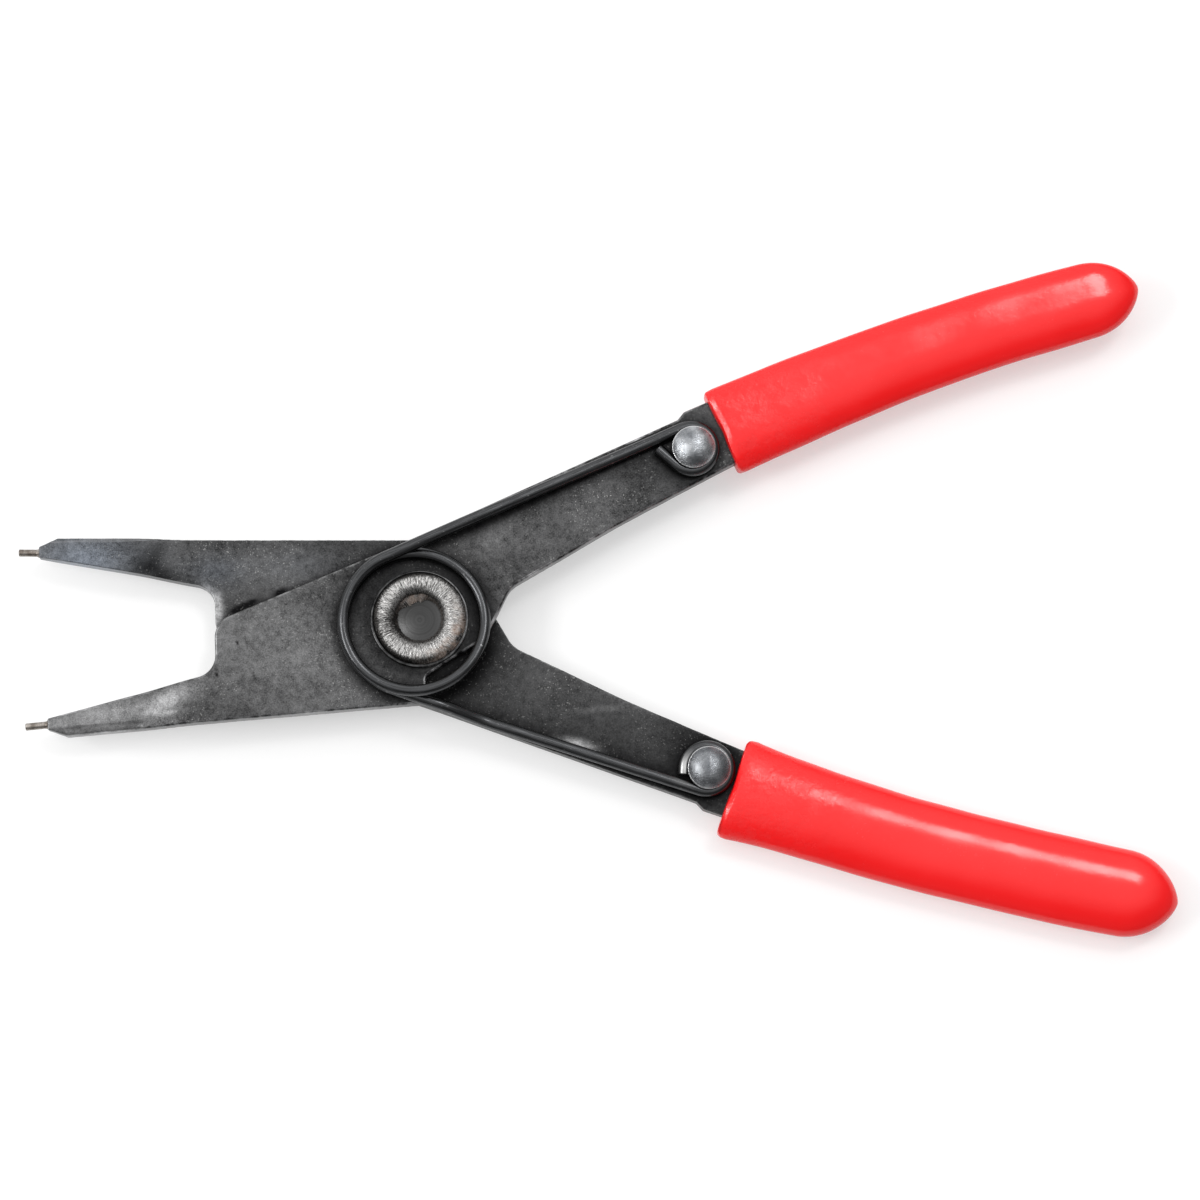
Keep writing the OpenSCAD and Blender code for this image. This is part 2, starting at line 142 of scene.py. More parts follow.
def add_piece(name, points, faces, node, body, slot, finish, **attributes):
    """Mesh in metres from points in millimetres, with its finish, its body and the node it stands for."""
    if volume(points, faces) < 0:
        faces = [block[:, ::-1] for block in faces]
    mesh = bpy.data.meshes.new(name)
    mesh.from_pydata((points * MM).tolist(), [], [f for block in faces for f in block.tolist()])
    for label, values in attributes.items():
        kind, field = ("FLOAT_VECTOR", "vector") if values.ndim == 2 else ("FLOAT", "value")
        layer = mesh.attributes.new(label, kind, "POINT")
        layer.data.foreach_set(field, values.astype(np.float32).ravel())
    mesh.materials.append(finish)
    mesh.shade_smooth()
    mesh.set_sharp_from_angle(angle=SHARP)
    mesh.update()
    piece = into_scene(name, mesh)
    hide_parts(node)
    if body:
        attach(piece, body)
    size = np.round(points.max(0) - points.min(0), 2)
    print(name, len(points), "points,", size, "mm,", round(volume(points, faces)), "mm3")
    return piece


# %% Soft steps and seeded unevenness
def smooth(t):
    """Step from 0 to 1 with level ends: 3 t squared minus 2 t cubed, with t kept between 0 and 1."""
    c = np.clip(t, 0, 1)
    return c * c * (3 - 2 * c)


def bell(distance, width):
    """Bell curve, 1 in its middle: e to the power of minus (distance over width) squared."""
    return np.exp(-((distance / width) ** 2))


def wander(t, seed, waves=8, first=1):
    """Uneven line round a closed way, t from 0 to 1: whole waves of falling height and seeded phase."""
    rng = np.random.default_rng(seed)
    numbers = np.arange(first, first + waves)
    phases = rng.uniform(0, 2 * np.pi, waves)
    heights = rng.uniform(0.4, 1, waves) / np.sqrt(waves)
    return (heights * np.sin(2 * np.pi * np.multiply.outer(t, numbers) + phases)).sum(-1)


def ripple(x, y, seed, wavelength, waves=14):
    """Uneven sheet over a plane: seeded plane waves in all directions, added up."""
    rng = np.random.default_rng(seed)
    angles = rng.uniform(0, 2 * np.pi, waves)
    pitches = 2 * np.pi / (wavelength * rng.uniform(0.6, 1.8, waves))
    phases = rng.uniform(0, 2 * np.pi, waves)
    runs = np.multiply.outer(x, pitches * np.cos(angles)) + np.multiply.outer(y, pitches * np.sin(angles))
    return np.sin(runs + phases).sum(-1) / np.sqrt(waves)


print("unevenness from", wander(np.linspace(0, 1, 50), 1).min(), "to", wander(np.linspace(0, 1, 50), 1).max())

# %% [markdown]
# ## Nodes for the finishes
# Every finish is a Principled shader whose colour, roughness and bump come from noise. Noise reads Object
# coordinates in metres, so a scale of 1000 makes spots of about a millimetre. The node editor would do, but
# a small class that adds nodes and fills or links their inputs keeps each recipe on a few lines.


# %% Node helper
class Finish:
    """A material under construction: its node tree and its Principled shader. The Mix node's colour sockets
    are picked by index, because its other kinds of sockets have the same names."""

    BELOW, ABOVE, MIXED = 6, 7, 2

    def __init__(self, name, **fixed):
        self.material = bpy.data.materials.new(name)
        self.material.use_nodes = True
        self.tree = self.material.node_tree
        self.shader = self.tree.nodes["Principled BSDF"]
        self.place = self.add("TexCoord").outputs["Object"]
        for label, value in fixed.items():
            self.shader.inputs[label.replace("_", " ")].default_value = value

    def add(self, kind, inputs=None, **settings):
        """Adds a shader node. An input that is a socket is linked, any other value is set."""
        node = self.tree.nodes.new("ShaderNode" + kind)
        for label, value in settings.items():
            setattr(node, label, value)
        for label, value in (inputs or {}).items():
            if isinstance(value, bpy.types.NodeSocket):
                self.tree.links.new(value, node.inputs[label])
            else:
                node.inputs[label].default_value = value
        return node

    def noise(self, scale, detail=4.0, rough=0.55, stretch=None, place=None):
        """Noise from 0 to 1; stretch multiplies the coordinates along each axis first."""
        place = place or self.place
        if stretch:
            place = self.add("Mapping", {"Vector": place, "Scale": stretch}).outputs[0]
        inputs = {"Vector": place, "Scale": scale, "Detail": detail, "Roughness": rough}
        return self.add("TexNoise", inputs).outputs["Fac"]

    def ramp(self, value, low, high, to_low=0.0, to_high=1.0):
        """Straight ramp: low becomes to_low, high becomes to_high, and both ends are kept."""
        inputs = {"Value": value, "From Min": low, "From Max": high, "To Min": to_low, "To Max": to_high}
        return self.add("MapRange", inputs).outputs["Result"]

    def math(self, operation, a, b):
        """One arithmetic step on two values or sockets."""
        return self.add("Math", {0: a, 1: b}, operation=operation).outputs[0]

    def times(self, a, b):
        """Product of two values or sockets."""
        return self.math("MULTIPLY", a, b)

    def layer(self, share, below, above):
        """Colour above laid over colour below, by share."""
        below, above = ((*c, 1) if isinstance(c, tuple) else c for c in (below, above))
        inputs = {"Factor": share, self.BELOW: below, self.ABOVE: above}
        return self.add("Mix", inputs, data_type="RGBA").outputs[self.MIXED]

    def attribute(self, name):
        """Value of a mesh attribute."""
        return self.add("Attribute", attribute_name=name).outputs["Fac"]

    def lay(self):
        """Seamless coordinates of a ringed piece: turn as cosine and sine, and way along in millimetres."""
        return self.add("Attribute", attribute_name="lay").outputs["Vector"]

    def use(self, **sockets):
        """Links sockets to the shader's inputs."""
        for label, socket in sockets.items():
            self.tree.links.new(socket, self.shader.inputs[label.replace("_", " ")])

    def bump(self, *layers):
        """Chain of bumps: each layer is a height socket and its depth in metres."""
        normal = None
        for height, depth in layers:
            inputs = {"Height": height, "Distance": depth, "Strength": 1.0}
            if normal:
                inputs["Normal"] = normal
            normal = self.add("Bump", inputs).outputs["Normal"]
        self.use(Normal=normal)

    def done(self):
        """Prints what was made and gives the finished material."""
        print("finish", self.material.name, "of", len(self.tree.nodes), "nodes")
        return self.material


# %% [markdown]
# ## Black-oxide steel
# The levers are stamped from sheet, blackened and oiled. Close up the black is uneven: cloudy patches,
# a fine grain, pale dust, hairline scratches, and bare steel along the edges where the black has rubbed
# off. Worn edges, light and oily places, painted shade beside the wire and in gaps, and a blued tint come
# from attributes of the mesh, and the rest is noise. A painted image would need a UV map and could not be
# read as a recipe.


# %% Black-oxide finish
def black_oxide():
    """Dark metal: the attribute tone, times clouds, mottling and grain, sets the grey. Dust and scratches
    lighten it, dust the more the lighter the tone is, and worn edges are bare."""
    f = Finish("black_oxide", Metallic=1.0)
    # The tone attribute also carries painted shade: beside the wire, round the washer, along the overlap and
    # in the relief.
    tone = f.attribute("tone")
    clouds = f.noise(75, 5, 0.6)
    mottle = f.noise(850, 5, 0.72)
    grain = f.noise(4200, 3, 0.7)
    depth = f.math("ADD", f.ramp(clouds, 0.32, 0.68, 0.6, 1.4), f.ramp(mottle, 0.3, 0.7, -0.42, 0.42))
    depth = f.math("ADD", depth, f.ramp(grain, 0.3, 0.7, -0.45, 0.45))
    share = f.ramp(f.times(tone, depth), 0.0, 0.6)
    grey = f.layer(share, (0.003, 0.003, 0.0032), (0.50, 0.50, 0.505))
    blue = f.layer(share, (0.003, 0.0034, 0.004), (0.42, 0.47, 0.55))
    grey = f.layer(f.attribute("blued"), grey, blue)
    fine_dust = f.ramp(f.noise(3300, 2, 0.5), 0.645, 0.69)
    lint = f.ramp(f.noise(1500, 3, 0.62), 0.685, 0.72)
    patch = f.ramp(f.noise(120, 4), 0.44, 0.60)
    dust = f.times(f.math("MAXIMUM", fine_dust, lint), patch)
    dust = f.times(dust, f.ramp(tone, 0.0, 0.075, 0.1, 0.5))
    grey = f.layer(dust, grey, (0.40, 0.40, 0.39))
    along = f.ramp(f.noise(330, 3, 0.5, (0.05, 1.0, 1.0)), 0.70, 0.73)
    across = f.ramp(f.noise(300, 3, 0.5, (1.0, 0.06, 1.0)), 0.72, 0.75)
    scratch = f.math("MAXIMUM", along, across)
    grey = f.layer(f.times(scratch, 0.12), grey, (0.5, 0.5, 0.51))
    rub = f.times(f.attribute("wear"), f.ramp(f.noise(420, 5, 0.7), 0.42, 0.68))
    grey = f.layer(f.times(rub, 0.85), grey, (0.62, 0.62, 0.63))
    rough = f.ramp(mottle, 0.3, 0.7, 0.30, 0.46)
    f.use(Base_Color=grey, Roughness=rough)
    f.bump((clouds, 0.00010), (mottle, 0.00003), (grain, 0.000008), (scratch, -0.00001))
    return f.done()


BLACK_OXIDE = black_oxide()

# %% [markdown]
# ## The lever's outline
# Both levers are the same stamping, one turned over. The outline is a list of corners with a radius each,
# joined to the two long edges of the tang, which bend gently towards the centre line. It could be drawn
# as a curve object, but a few named sizes and arcs tie it to the CAD plates exactly.

# %% Sizes of the stamping, in millimetres and degrees
PLATE_T = 3.0
PLAY = 0.05
JAW_REACH = 65.1
NOSE_Y = -15.0
NOSE_W = 1.9
NOSE_LEN = 3.4
NOSE_OFFSET = 0.3
JAW_TIP_W = 3.9
JAW_DEPTH = 14.5
NOTCH_X = 35.2
NOTCH_HALF = 7.6
HANDLE_ANGLE = np.radians(21.3)
MOUTH = np.array([53.6, 30.7])
BEND_R = 550.0
TANG_W, TANG_END_W, TANG_LEN = 11.8, 9.4, 70.0
SHOULDER_LEN, SHOULDER_RAMP, SHOULDER_STEP = 4.6, 1.5, 0.8
HANDLE_DEPTH = 14.4
FRONT_EDGE_ANGLE = np.radians(20.6)
LAND, LAND_ANGLE = 8.8, np.radians(30.5)
CROTCH_X, CROTCH_ANGLE = 13.2, np.radians(61.5)
INNER_ANGLE, INNER_BOW = np.radians(27.0), 0.55
RELIEF_X = 0.65
BEVEL_W, BEVEL_D = 1.6, 0.6
PIVOT_HOLE = 5.55
PIN = np.array([48.4, 27.7])
PIN_HOLE = 2.47
NOSE_SOFT, JAW_SOFT, RELIEF_SOFT, LAND_SOFT, CROTCH_SOFT = 0.35, 0.6, 1.3, 3.0, 4.5
INNER_SOFT, TANG_SOFT, SHOULDER_SOFT, BACK_SOFT = 200.0, 4.2, 0.6, 150.0
NOTCH_SOFT, NOTCH_FILLET, INNER_NOSE_SOFT = 4.0, 3.8, 0.5

NOSE = np.array([-JAW_REACH, NOSE_Y])
OUTER_NOSE = NOSE + [NOSE_LEN, -JAW_TIP_W / 2 - NOSE_OFFSET]
JAW_HEEL = np.array([RELIEF_X, -JAW_DEPTH])
BEND_CENTRE = MOUTH + BEND_R * np.array([np.sin(HANDLE_ANGLE), -np.cos(HANDLE_ANGLE)])


def handle_at(s, side):
    """Point beside the handle's centre line: an arc of radius BEND_R, s along it from the grip's mouth."""
    slope = HANDLE_ANGLE - s / BEND_R
    reach = np.asarray(BEND_R + side)[..., None]
    return BEND_CENTRE + reach * np.stack([-np.sin(slope), np.cos(slope)], -1)


def tang_half(s):
    """Half the tang's width, tapering evenly along its length."""
    return (TANG_W + (TANG_END_W - TANG_W) * s / TANG_LEN) / 2


def cross_lines(a, angle_a, b, angle_b):
    """Point where the line through a meets the line through b."""
    da = np.array([np.cos(angle_a), np.sin(angle_a)])
    db = np.array([np.cos(angle_b), np.sin(angle_b)])
    d = b - a
    return a + da * (d[0] * db[1] - d[1] * db[0]) / (da[0] * db[1] - da[1] * db[0])


print("bend's centre at", np.round(BEND_CENTRE, 2), "mm")


# %% The outline, anticlockwise from the nose
ARC_STEP = np.radians(7)
POINT_GAP = 0.5


def corner_arc(before, at, after, radius):
    """Arc that touches both edges of a corner, as points; a corner without radius is its own point."""
    if radius == 0:
        return at[None]
    u, v = unit(before - at), unit(after - at)
    half = np.arccos(np.clip(u @ v, -1, 1)) / 2
    centre = at + unit(u + v) * radius / np.sin(half)
    arm = at + u * radius / np.tan(half) - centre
    turn = (np.pi - 2 * half) * np.sign(arm[0] * v[1] - arm[1] * v[0])
    a = np.linspace(0, turn, max(4, int(abs(turn) / ARC_STEP) + 1))
    rotated = [arm[0] * np.cos(a) - arm[1] * np.sin(a), arm[0] * np.sin(a) + arm[1] * np.cos(a)]
    return centre + np.stack(rotated, -1)


def split_long(points, gap):
    """Closed line with each stretch cut into equal parts no longer than gap."""
    ahead = np.roll(points, -1, 0) - points
    parts = np.ceil(np.linalg.norm(ahead, axis=1) / gap).astype(int).clip(1)
    owner = np.repeat(np.arange(len(points)), parts)
    share = (np.arange(parts.sum()) - np.repeat(np.cumsum(parts) - parts, parts)) / parts[owner]
    return points[owner] + ahead[owner] * share[:, None]


def lever_outline():
    """Corners with their radii, the tang's two edges as arcs, and the handle's bowed inner edge."""
    inner_nose = NOSE + [NOSE_LEN, JAW_TIP_W / 2 - NOSE_OFFSET]
    land = LAND * np.array([np.sin(LAND_ANGLE), -np.cos(LAND_ANGLE)])
    relief = np.array([RELIEF_X, land[1] + (RELIEF_X - land[0]) * np.tan(LAND_ANGLE)])
    along = np.linspace(0, TANG_LEN - TANG_END_W / 2, 50)
    inner_edge, outer_edge = handle_at(along, -tang_half(along)), handle_at(along, tang_half(along))
    tang_end = handle_at(np.full(2, TANG_LEN), np.array([-1, 1]) * tang_half(TANG_LEN))
    crotch_line = np.array([CROTCH_X, 0])
    land_end = cross_lines(land, LAND_ANGLE, crotch_line, CROTCH_ANGLE)
    crotch = cross_lines(crotch_line, CROTCH_ANGLE, inner_edge[0], INNER_ANGLE)
    inner_mid = (crotch + inner_edge[0]) / 2
    inner_mid = inner_mid + INNER_BOW * np.array([-np.sin(INNER_ANGLE), np.cos(INNER_ANGLE)])
    shoulder = handle_at(np.array(-SHOULDER_LEN), tang_half(0))
    foot = handle_at(np.array(-SHOULDER_LEN - SHOULDER_RAMP), tang_half(0) - SHOULDER_STEP)
    notch = np.array([-NOTCH_X, HANDLE_DEPTH - NOTCH_X * np.tan(FRONT_EDGE_ANGLE)])
    corners = [
        (NOSE - [0, NOSE_W / 2], NOSE_SOFT), (OUTER_NOSE, JAW_SOFT), (JAW_HEEL, JAW_SOFT),
        (relief, RELIEF_SOFT), (land_end, LAND_SOFT), (crotch, CROTCH_SOFT), (inner_mid, INNER_SOFT),
        *[(p, 0) for p in inner_edge], *[(p, TANG_SOFT) for p in tang_end],
        *[(p, 0) for p in outer_edge[::-1]], (shoulder, SHOULDER_SOFT), (foot, SHOULDER_SOFT),
        (np.array([0, HANDLE_DEPTH]), BACK_SOFT), (notch, NOTCH_SOFT),
        (np.array([-NOTCH_X, -NOTCH_HALF]), NOTCH_FILLET), (inner_nose, INNER_NOSE_SOFT),
        (NOSE + [0, NOSE_W / 2], NOSE_SOFT),
    ]
    spots = [c[0] for c in corners]
    arcs = [corner_arc(spots[i - 1], p, spots[(i + 1) % len(spots)], r) for i, (p, r) in enumerate(corners)]
    return split_long(np.vstack(arcs), POINT_GAP)


OUTLINE = lever_outline()
print("outline of", len(OUTLINE), "points")

# %% [markdown]
# ## The lever's surface
# A blanked edge is rolled over on the punch side, cut smooth for the first third of the thickness and
# torn rough below that. That profile is carried round the outline. The two faces are filled with triangles
# that keep the outline's edges and leave the rivet holes open. A plain extrusion with a bevel would miss
# the torn half and the jaw's bend. Heights are functions of the plan: the bend steps the jaw to the
# parting plane, the nose thins out, a coined bevel falls along the jaw's outer edge, and shallow dents go
# in.

# %% Heights over the plan
BEND_FROM, BEND_TO = -49.0, -39.0
BEVEL_FADE = (-49.5, -46.5)
DENT, DENT_WAVE = 0.03, 11.0
POCKS = np.array([[-31.3, -2.7], [-35.0, -8.1]])
POCK_R, POCK_DEPTH = 0.34, 0.12


def middle_height(x):
    """Middle of the plate above the parting plane: level, with a smooth step along the bend."""
    return (PLATE_T + PLAY) / 2 * smooth((x - BEND_FROM) / (BEND_TO - BEND_FROM))


def half_thickness(x):
    """Half the plate's thickness, thinning evenly along the nose."""
    return np.interp(x, [-JAW_REACH, -JAW_REACH + NOSE_LEN], [NOSE_W / 2, PLATE_T / 2])


def bevel_drop(plan):
    """Depth of the coined bevel: falls evenly towards the jaw's outer edge, and fades out at the bend."""
    way = unit(JAW_HEEL - OUTER_NOSE)
    inwards = (plan - OUTER_NOSE) @ np.array([-way[1], way[0]])
    fade = 1 - smooth((plan[..., 0] - BEVEL_FADE[0]) / (BEVEL_FADE[1] - BEVEL_FADE[0]))
    return BEVEL_D * fade * np.clip(1 - inwards / BEVEL_W, 0, 1.2)


def dents(plan, seed):
    """Shallow hollows, never above the plate's face."""
    return DENT * (0.5 + 0.25 * ripple(plan[..., 0], plan[..., 1], seed, DENT_WAVE)).clip(0, 1)


def top_height(plan):
    """Upper face: middle plus half the thickness, less the bevel, the dents and two small pocks."""
    x = plan[..., 0]
    pits = sum(POCK_DEPTH * np.exp(-((plan - pock) ** 2).sum(-1) / POCK_R**2) for pock in POCKS)
    return middle_height(x) + half_thickness(x) - bevel_drop(plan) - dents(plan, 3) - pits


def bottom_height(plan):
    """Lower face: middle less half the thickness, with dents upwards."""
    x = plan[..., 0]
    return middle_height(x) - half_thickness(x) + dents(plan, 4)


# %% The blanked edge: one profile carried round the outline
ROLL = (0.2, 0.42)
BURR = (0.12, 0.18)
TEAR, EDGE_WAVE = 0.05, 0.02
EDGE_RUB = 0.8
RUBBED = [(0.2, 12.0, -14.2, -3.0, 1.8), (12.0, 24.0, -14.2, 9.0, 1.6)]


def edge_rings():
    """For each outline point a profile of [roll-over arc, cut wall, torn wall, lower arc], from the top down.
    Its columns are sums of the roll radius, the lower radius and the tear, and a share of the way down.
    Wear is highest on the roll-over, and higher in each box of RUBBED: left, right, low, high, amount."""
    down = np.radians(np.linspace(0, 90, 5))
    up = down[::-1]
    wall = np.array([0.3, 0.42, 0.6, 0.8])
    torn = np.array([0, 0.35, 0.7, 0.95])
    none = np.zeros(5)
    roll_in = np.concatenate([1 - np.sin(down), 0 * wall, none])
    burr_in = np.concatenate([none, 0 * wall, 1 - np.sin(up)])
    tear_in = np.concatenate([none, torn, none + 1])
    share = np.concatenate([none, wall, none + 1])
    roll_down = np.concatenate([1 - np.cos(down), 1 - wall, none])
    burr_up = np.concatenate([none, wall, 1 - np.cos(up)])
    ahead = unit(np.roll(OUTLINE, -1, 0) - np.roll(OUTLINE, 1, 0))
    inwards = np.stack([-ahead[:, 1], ahead[:, 0]], -1)
    t = np.arange(len(OUTLINE)) / len(OUTLINE)
    nose = [-JAW_REACH, -JAW_REACH + 2 * NOSE_LEN]
    roll = np.interp(OUTLINE[:, 0], nose, ROLL)[:, None]
    burr = np.interp(OUTLINE[:, 0], nose, BURR)[:, None]
    tear = TEAR * (1 + 0.25 * wander(t, 11, 40, 60) + 0.3 * wander(t, 12, 60, 260))[:, None]
    wave = EDGE_WAVE * wander(t, 13, 24, 6)[:, None]
    inset = roll * roll_in + burr * burr_in + tear * tear_in + wave
    plan = OUTLINE[:, None] + inwards[:, None] * inset[..., None]
    height = top_height(plan) * (1 - share) + bottom_height(plan) * share - roll * roll_down + burr * burr_up
    worn = np.concatenate([[0.0, 0.8, 0.9, 0.4, 0.15], 0.1 + 0 * wall, [0.1, 0.1, 0.25, 0.35, 0.0]])
    x, y = OUTLINE.T
    rubbed = np.full(len(OUTLINE), EDGE_RUB)
    for left, right, low, high, amount in RUBBED:
        rubbed[(x > left) & (x < right) & (y > low) & (y < high)] = amount
    rubbed = rubbed * (1 + 0.5 * wander(t, 14, 30, 10))
    return np.concatenate([plan, height[..., None]], -1), worn * rubbed[:, None]


EDGE, EDGE_WEAR = edge_rings()
print("edge of", EDGE.shape[0], "by", EDGE.shape[1], "points")

# %% Faces filled round the holes
FACE_GAP = 0.55
HOLES = [(np.zeros(2), PIVOT_HOLE), (PIN, PIN_HOLE)]
HOLE_SIDES = 48


def inside(points, loop):
    """True where a line to the right crosses the closed loop an odd number of times."""
    a, b = loop, np.roll(loop, -1, 0)
    x, y = points[:, :1], points[:, 1:]
    spans = (a[:, 1] > y) != (b[:, 1] > y)
    rise = np.where(a[:, 1] == b[:, 1], 1, b[:, 1] - a[:, 1])
    meets = a[:, 0] + (y - a[:, 1]) * (b[:, 0] - a[:, 0]) / rise
    return (spans & (x < meets)).sum(1) % 2 == 1


def nearest(points, line):
    """Distance from each point to the nearest point of a line, worked out in blocks to spare memory."""
    blocks = np.array_split(points, 1 + len(points) // 2000)
    return np.concatenate([np.linalg.norm(b[:, None] - line[None], axis=-1).min(1) for b in blocks])


def inner_points(loop):
    """Staggered rows of points over the plan, and rows along the bevel's foot, clear of edges and holes."""
    low, high = loop.min(0), loop.max(0)
    x, y = np.meshgrid(np.arange(low[0], high[0], FACE_GAP), np.arange(low[1], high[1], FACE_GAP * 0.866))
    x = x + FACE_GAP / 2 * (np.arange(len(x)) % 2)[:, None]
    way = np.linspace(0, 1, 60)[:, None]
    foot_rows = OUTER_NOSE + [0, BEVEL_W] + way * [BEVEL_FADE[1] + JAW_REACH - NOSE_LEN, 0.6]
    fine = np.stack(np.meshgrid(*[np.linspace(-0.6, 0.6, 9)] * 2), -1).reshape(-1, 2)
    rows = [foot_rows - [0, 0.12], foot_rows + [0, 0.12], *[pock + fine for pock in POCKS]]
    points = np.vstack([np.stack([x, y], -1).reshape(-1, 2), *rows])
    points = points[inside(points, loop)]
    clear = nearest(points, loop[::2]) > FACE_GAP * 0.55
    for centre, radius in HOLES:
        clear &= np.linalg.norm(points - centre, axis=1) > radius + FACE_GAP * 0.4
    return points[clear]


def fill(loop):
    """Delaunay triangles between the loop, the holes' rings and the inner points, without the holes."""
    turn = round_angles(HOLE_SIDES)
    circle = np.stack([np.cos(turn), np.sin(turn)], -1)
    rings = [loop] + [centre + radius * circle for centre, radius in HOLES]
    starts = np.cumsum([0] + [len(r) for r in rings[:-1]])
    names = [start + np.arange(len(ring)) for start, ring in zip(starts, rings)]
    sides = [np.stack([ring, np.roll(ring, -1)], -1) for ring in names]
    plan = np.vstack(rings + [inner_points(loop)])
    found = geometry.delaunay_2d_cdt(plan.tolist(), np.vstack(sides).tolist(), [], 1, 1e-6)
    source = np.array([owners[0] for owners in found[3]])
    tris = source[np.array(found[2])]
    a, b, c = plan[tris[:, 0]], plan[tris[:, 1]], plan[tris[:, 2]]
    area = (b[:, 0] - a[:, 0]) * (c[:, 1] - a[:, 1]) - (b[:, 1] - a[:, 1]) * (c[:, 0] - a[:, 0])
    tris = np.where(area[:, None] < 0, tris[:, ::-1], tris)
    middle = (a + b + c) / 3
    solid = [np.linalg.norm(middle - centre, axis=1) > radius for centre, radius in HOLES]
    return plan, tris[np.all(solid, 0)]


# %% One closed lever
def lever_mesh():
    """Edge grid, upper and lower fills on its first and last columns, and a wall in each hole."""
    count, columns = EDGE.shape[:2]
    index = np.arange(count * columns).reshape(count, columns)
    ahead = np.roll(index, -1, 0)
    edge_quads = np.stack([index[:, :-1], index[:, 1:], ahead[:, 1:], ahead[:, :-1]], -1).reshape(-1, 4)
    points, wear, faces, rings = [EDGE.reshape(-1, 3)], [EDGE_WEAR.ravel()], [edge_quads], []
    for column, height, flip in ((0, top_height, False), (columns - 1, bottom_height, True)):
        plan, tris = fill(EDGE[:, column, :2])
        extra = np.concatenate([plan[count:], height(plan[count:])[:, None]], -1)
        begin = sum(len(p) for p in points)
        names = np.concatenate([index[:, column], begin + np.arange(len(extra))])
        faces.append(names[tris[:, ::-1] if flip else tris])
        rings.append(begin + np.arange(HOLE_SIDES * len(HOLES)).reshape(len(HOLES), HOLE_SIDES))
        points.append(extra)
        wear.append(np.zeros(len(extra)))
    top, bottom = rings
    walls = np.stack([top, np.roll(top, -1, 1), np.roll(bottom, -1, 1), bottom], -1)
    faces.append(walls.reshape(-1, 4))
    return np.vstack(points), faces, np.concatenate(wear)


LEVER, LEVER_FACES, LEVER_WEAR = lever_mesh()
print("lever of", len(LEVER), "points and", sum(len(b) for b in LEVER_FACES), "faces")

# %% [markdown]
# ## Pieces turned round an axis
# Rivets, washer and tip pins are turned or upset parts, so each is a profile of radius and height carried
# round an axis. Blender's Spin or Screw would do it too; here the ring of angles is one array, and the
# profile may change with the angle, which a rolled or torn edge needs.


# %% Profile helpers
def polyline(points, gap):
    """Open profile with each stretch cut into equal parts no longer than gap."""
    points = np.array(points, float)
    lengths = np.linalg.norm(np.diff(points, axis=0), axis=1)
    parts = np.ceil(lengths / gap).astype(int).clip(1)
    pieces = [np.linspace(a, b, n, endpoint=False) for a, b, n in zip(points[:-1], points[1:], parts)]
    return np.vstack(pieces + [points[-1:]])


def quarter_round(centre, radius, start, steps):
    """Quarter circle of a profile, anticlockwise from a start in degrees."""
    angle = np.radians(np.linspace(start, start + 90, steps))
    return np.array(centre) + radius * np.stack([np.cos(angle), np.sin(angle)], -1)


def turned_rings(radius, height, sides):
    """Rings about the Z axis from a radius and a height, each an array over [step, angle] or over step."""
    angle = round_angles(sides)
    radius, height = (v[:, None] if v.ndim == 1 else v for v in (radius, height))
    return np.stack(np.broadcast_arrays(radius * np.cos(angle), radius * np.sin(angle), height), -1)


# %% [markdown]
# ## The pivot rivet
# A semi-tubular rivet: a flat head at the back, and a hollow end that a spinning tool rolls out over the
# washer. The tool leaves radial scores on the roll, and the thin inner lip tears a little. So the roll's
# height carries fine ridges that run across it, and the lip's radius is ragged. Part of the torn wall, a
# flap, leans into the hollow.


# %% Bright rolled steel
def rolled_steel():
    """Bright metal with scores that run outwards: noise over the direction from the pivot axis only."""
    f = Finish("rolled_steel")
    flat = f.add("VectorMath", {0: f.place, 1: (1, 1, 0)}, operation="MULTIPLY").outputs[0]
    way = f.add("VectorMath", {0: flat}, operation="NORMALIZE").outputs[0]
    drift = f.add("VectorMath", {0: f.place, 1: (60, 60, 60)}, operation="MULTIPLY").outputs[0]
    place = f.add("VectorMath", {0: way, 1: drift}, operation="ADD").outputs[0]
    scores = f.noise(30, 5, 0.68, place=place)
    grain = f.noise(1800, 4, 0.6)
    metal = f.layer(f.ramp(scores, 0.34, 0.66), (0.05, 0.049, 0.047), (0.66, 0.65, 0.64))
    metal = f.layer(f.ramp(grain, 0.58, 0.75, 0, 0.5), metal, (0.09, 0.085, 0.08))
    # Painted shade: the attribute read here, broken up by the scores, darkens the roll's slopes, its shaded
    # sides, the wall and the gap under the lip.
    ragged = f.math("ADD", f.attribute("soot"), f.ramp(scores, 0.3, 0.7, 0.35, -0.35))
    metal = f.layer(f.ramp(ragged, 0.25, 0.85), metal, (0.05, 0.048, 0.046))
    rings = f.noise(2.6, 3, 0.6, (0.02, 0.02, 1.0), f.lay())
    floor = f.attribute("floor")
    dish = f.layer(f.ramp(rings, 0.3, 0.7), (0.042, 0.042, 0.042), (0.066, 0.066, 0.066))
    metal = f.layer(floor, metal, dish)
    rust = f.times(f.attribute("rust"), f.ramp(f.noise(700, 4), 0.34, 0.56))
    metal = f.layer(rust, metal, f.layer(f.ramp(grain, 0.4, 0.6), (0.20, 0.12, 0.08), (0.46, 0.36, 0.30)))
    rough = f.ramp(scores, 0.3, 0.7, 0.40, 0.25)
    f.use(Base_Color=metal, Roughness=rough, Metallic=f.math("SUBTRACT", 1.0, rust))
    ridges = f.times(scores, f.math("SUBTRACT", 1.0, floor))
    f.bump((ridges, 0.00012), (grain, 0.000012))
    return f.done()


ROLLED_STEEL = rolled_steel()

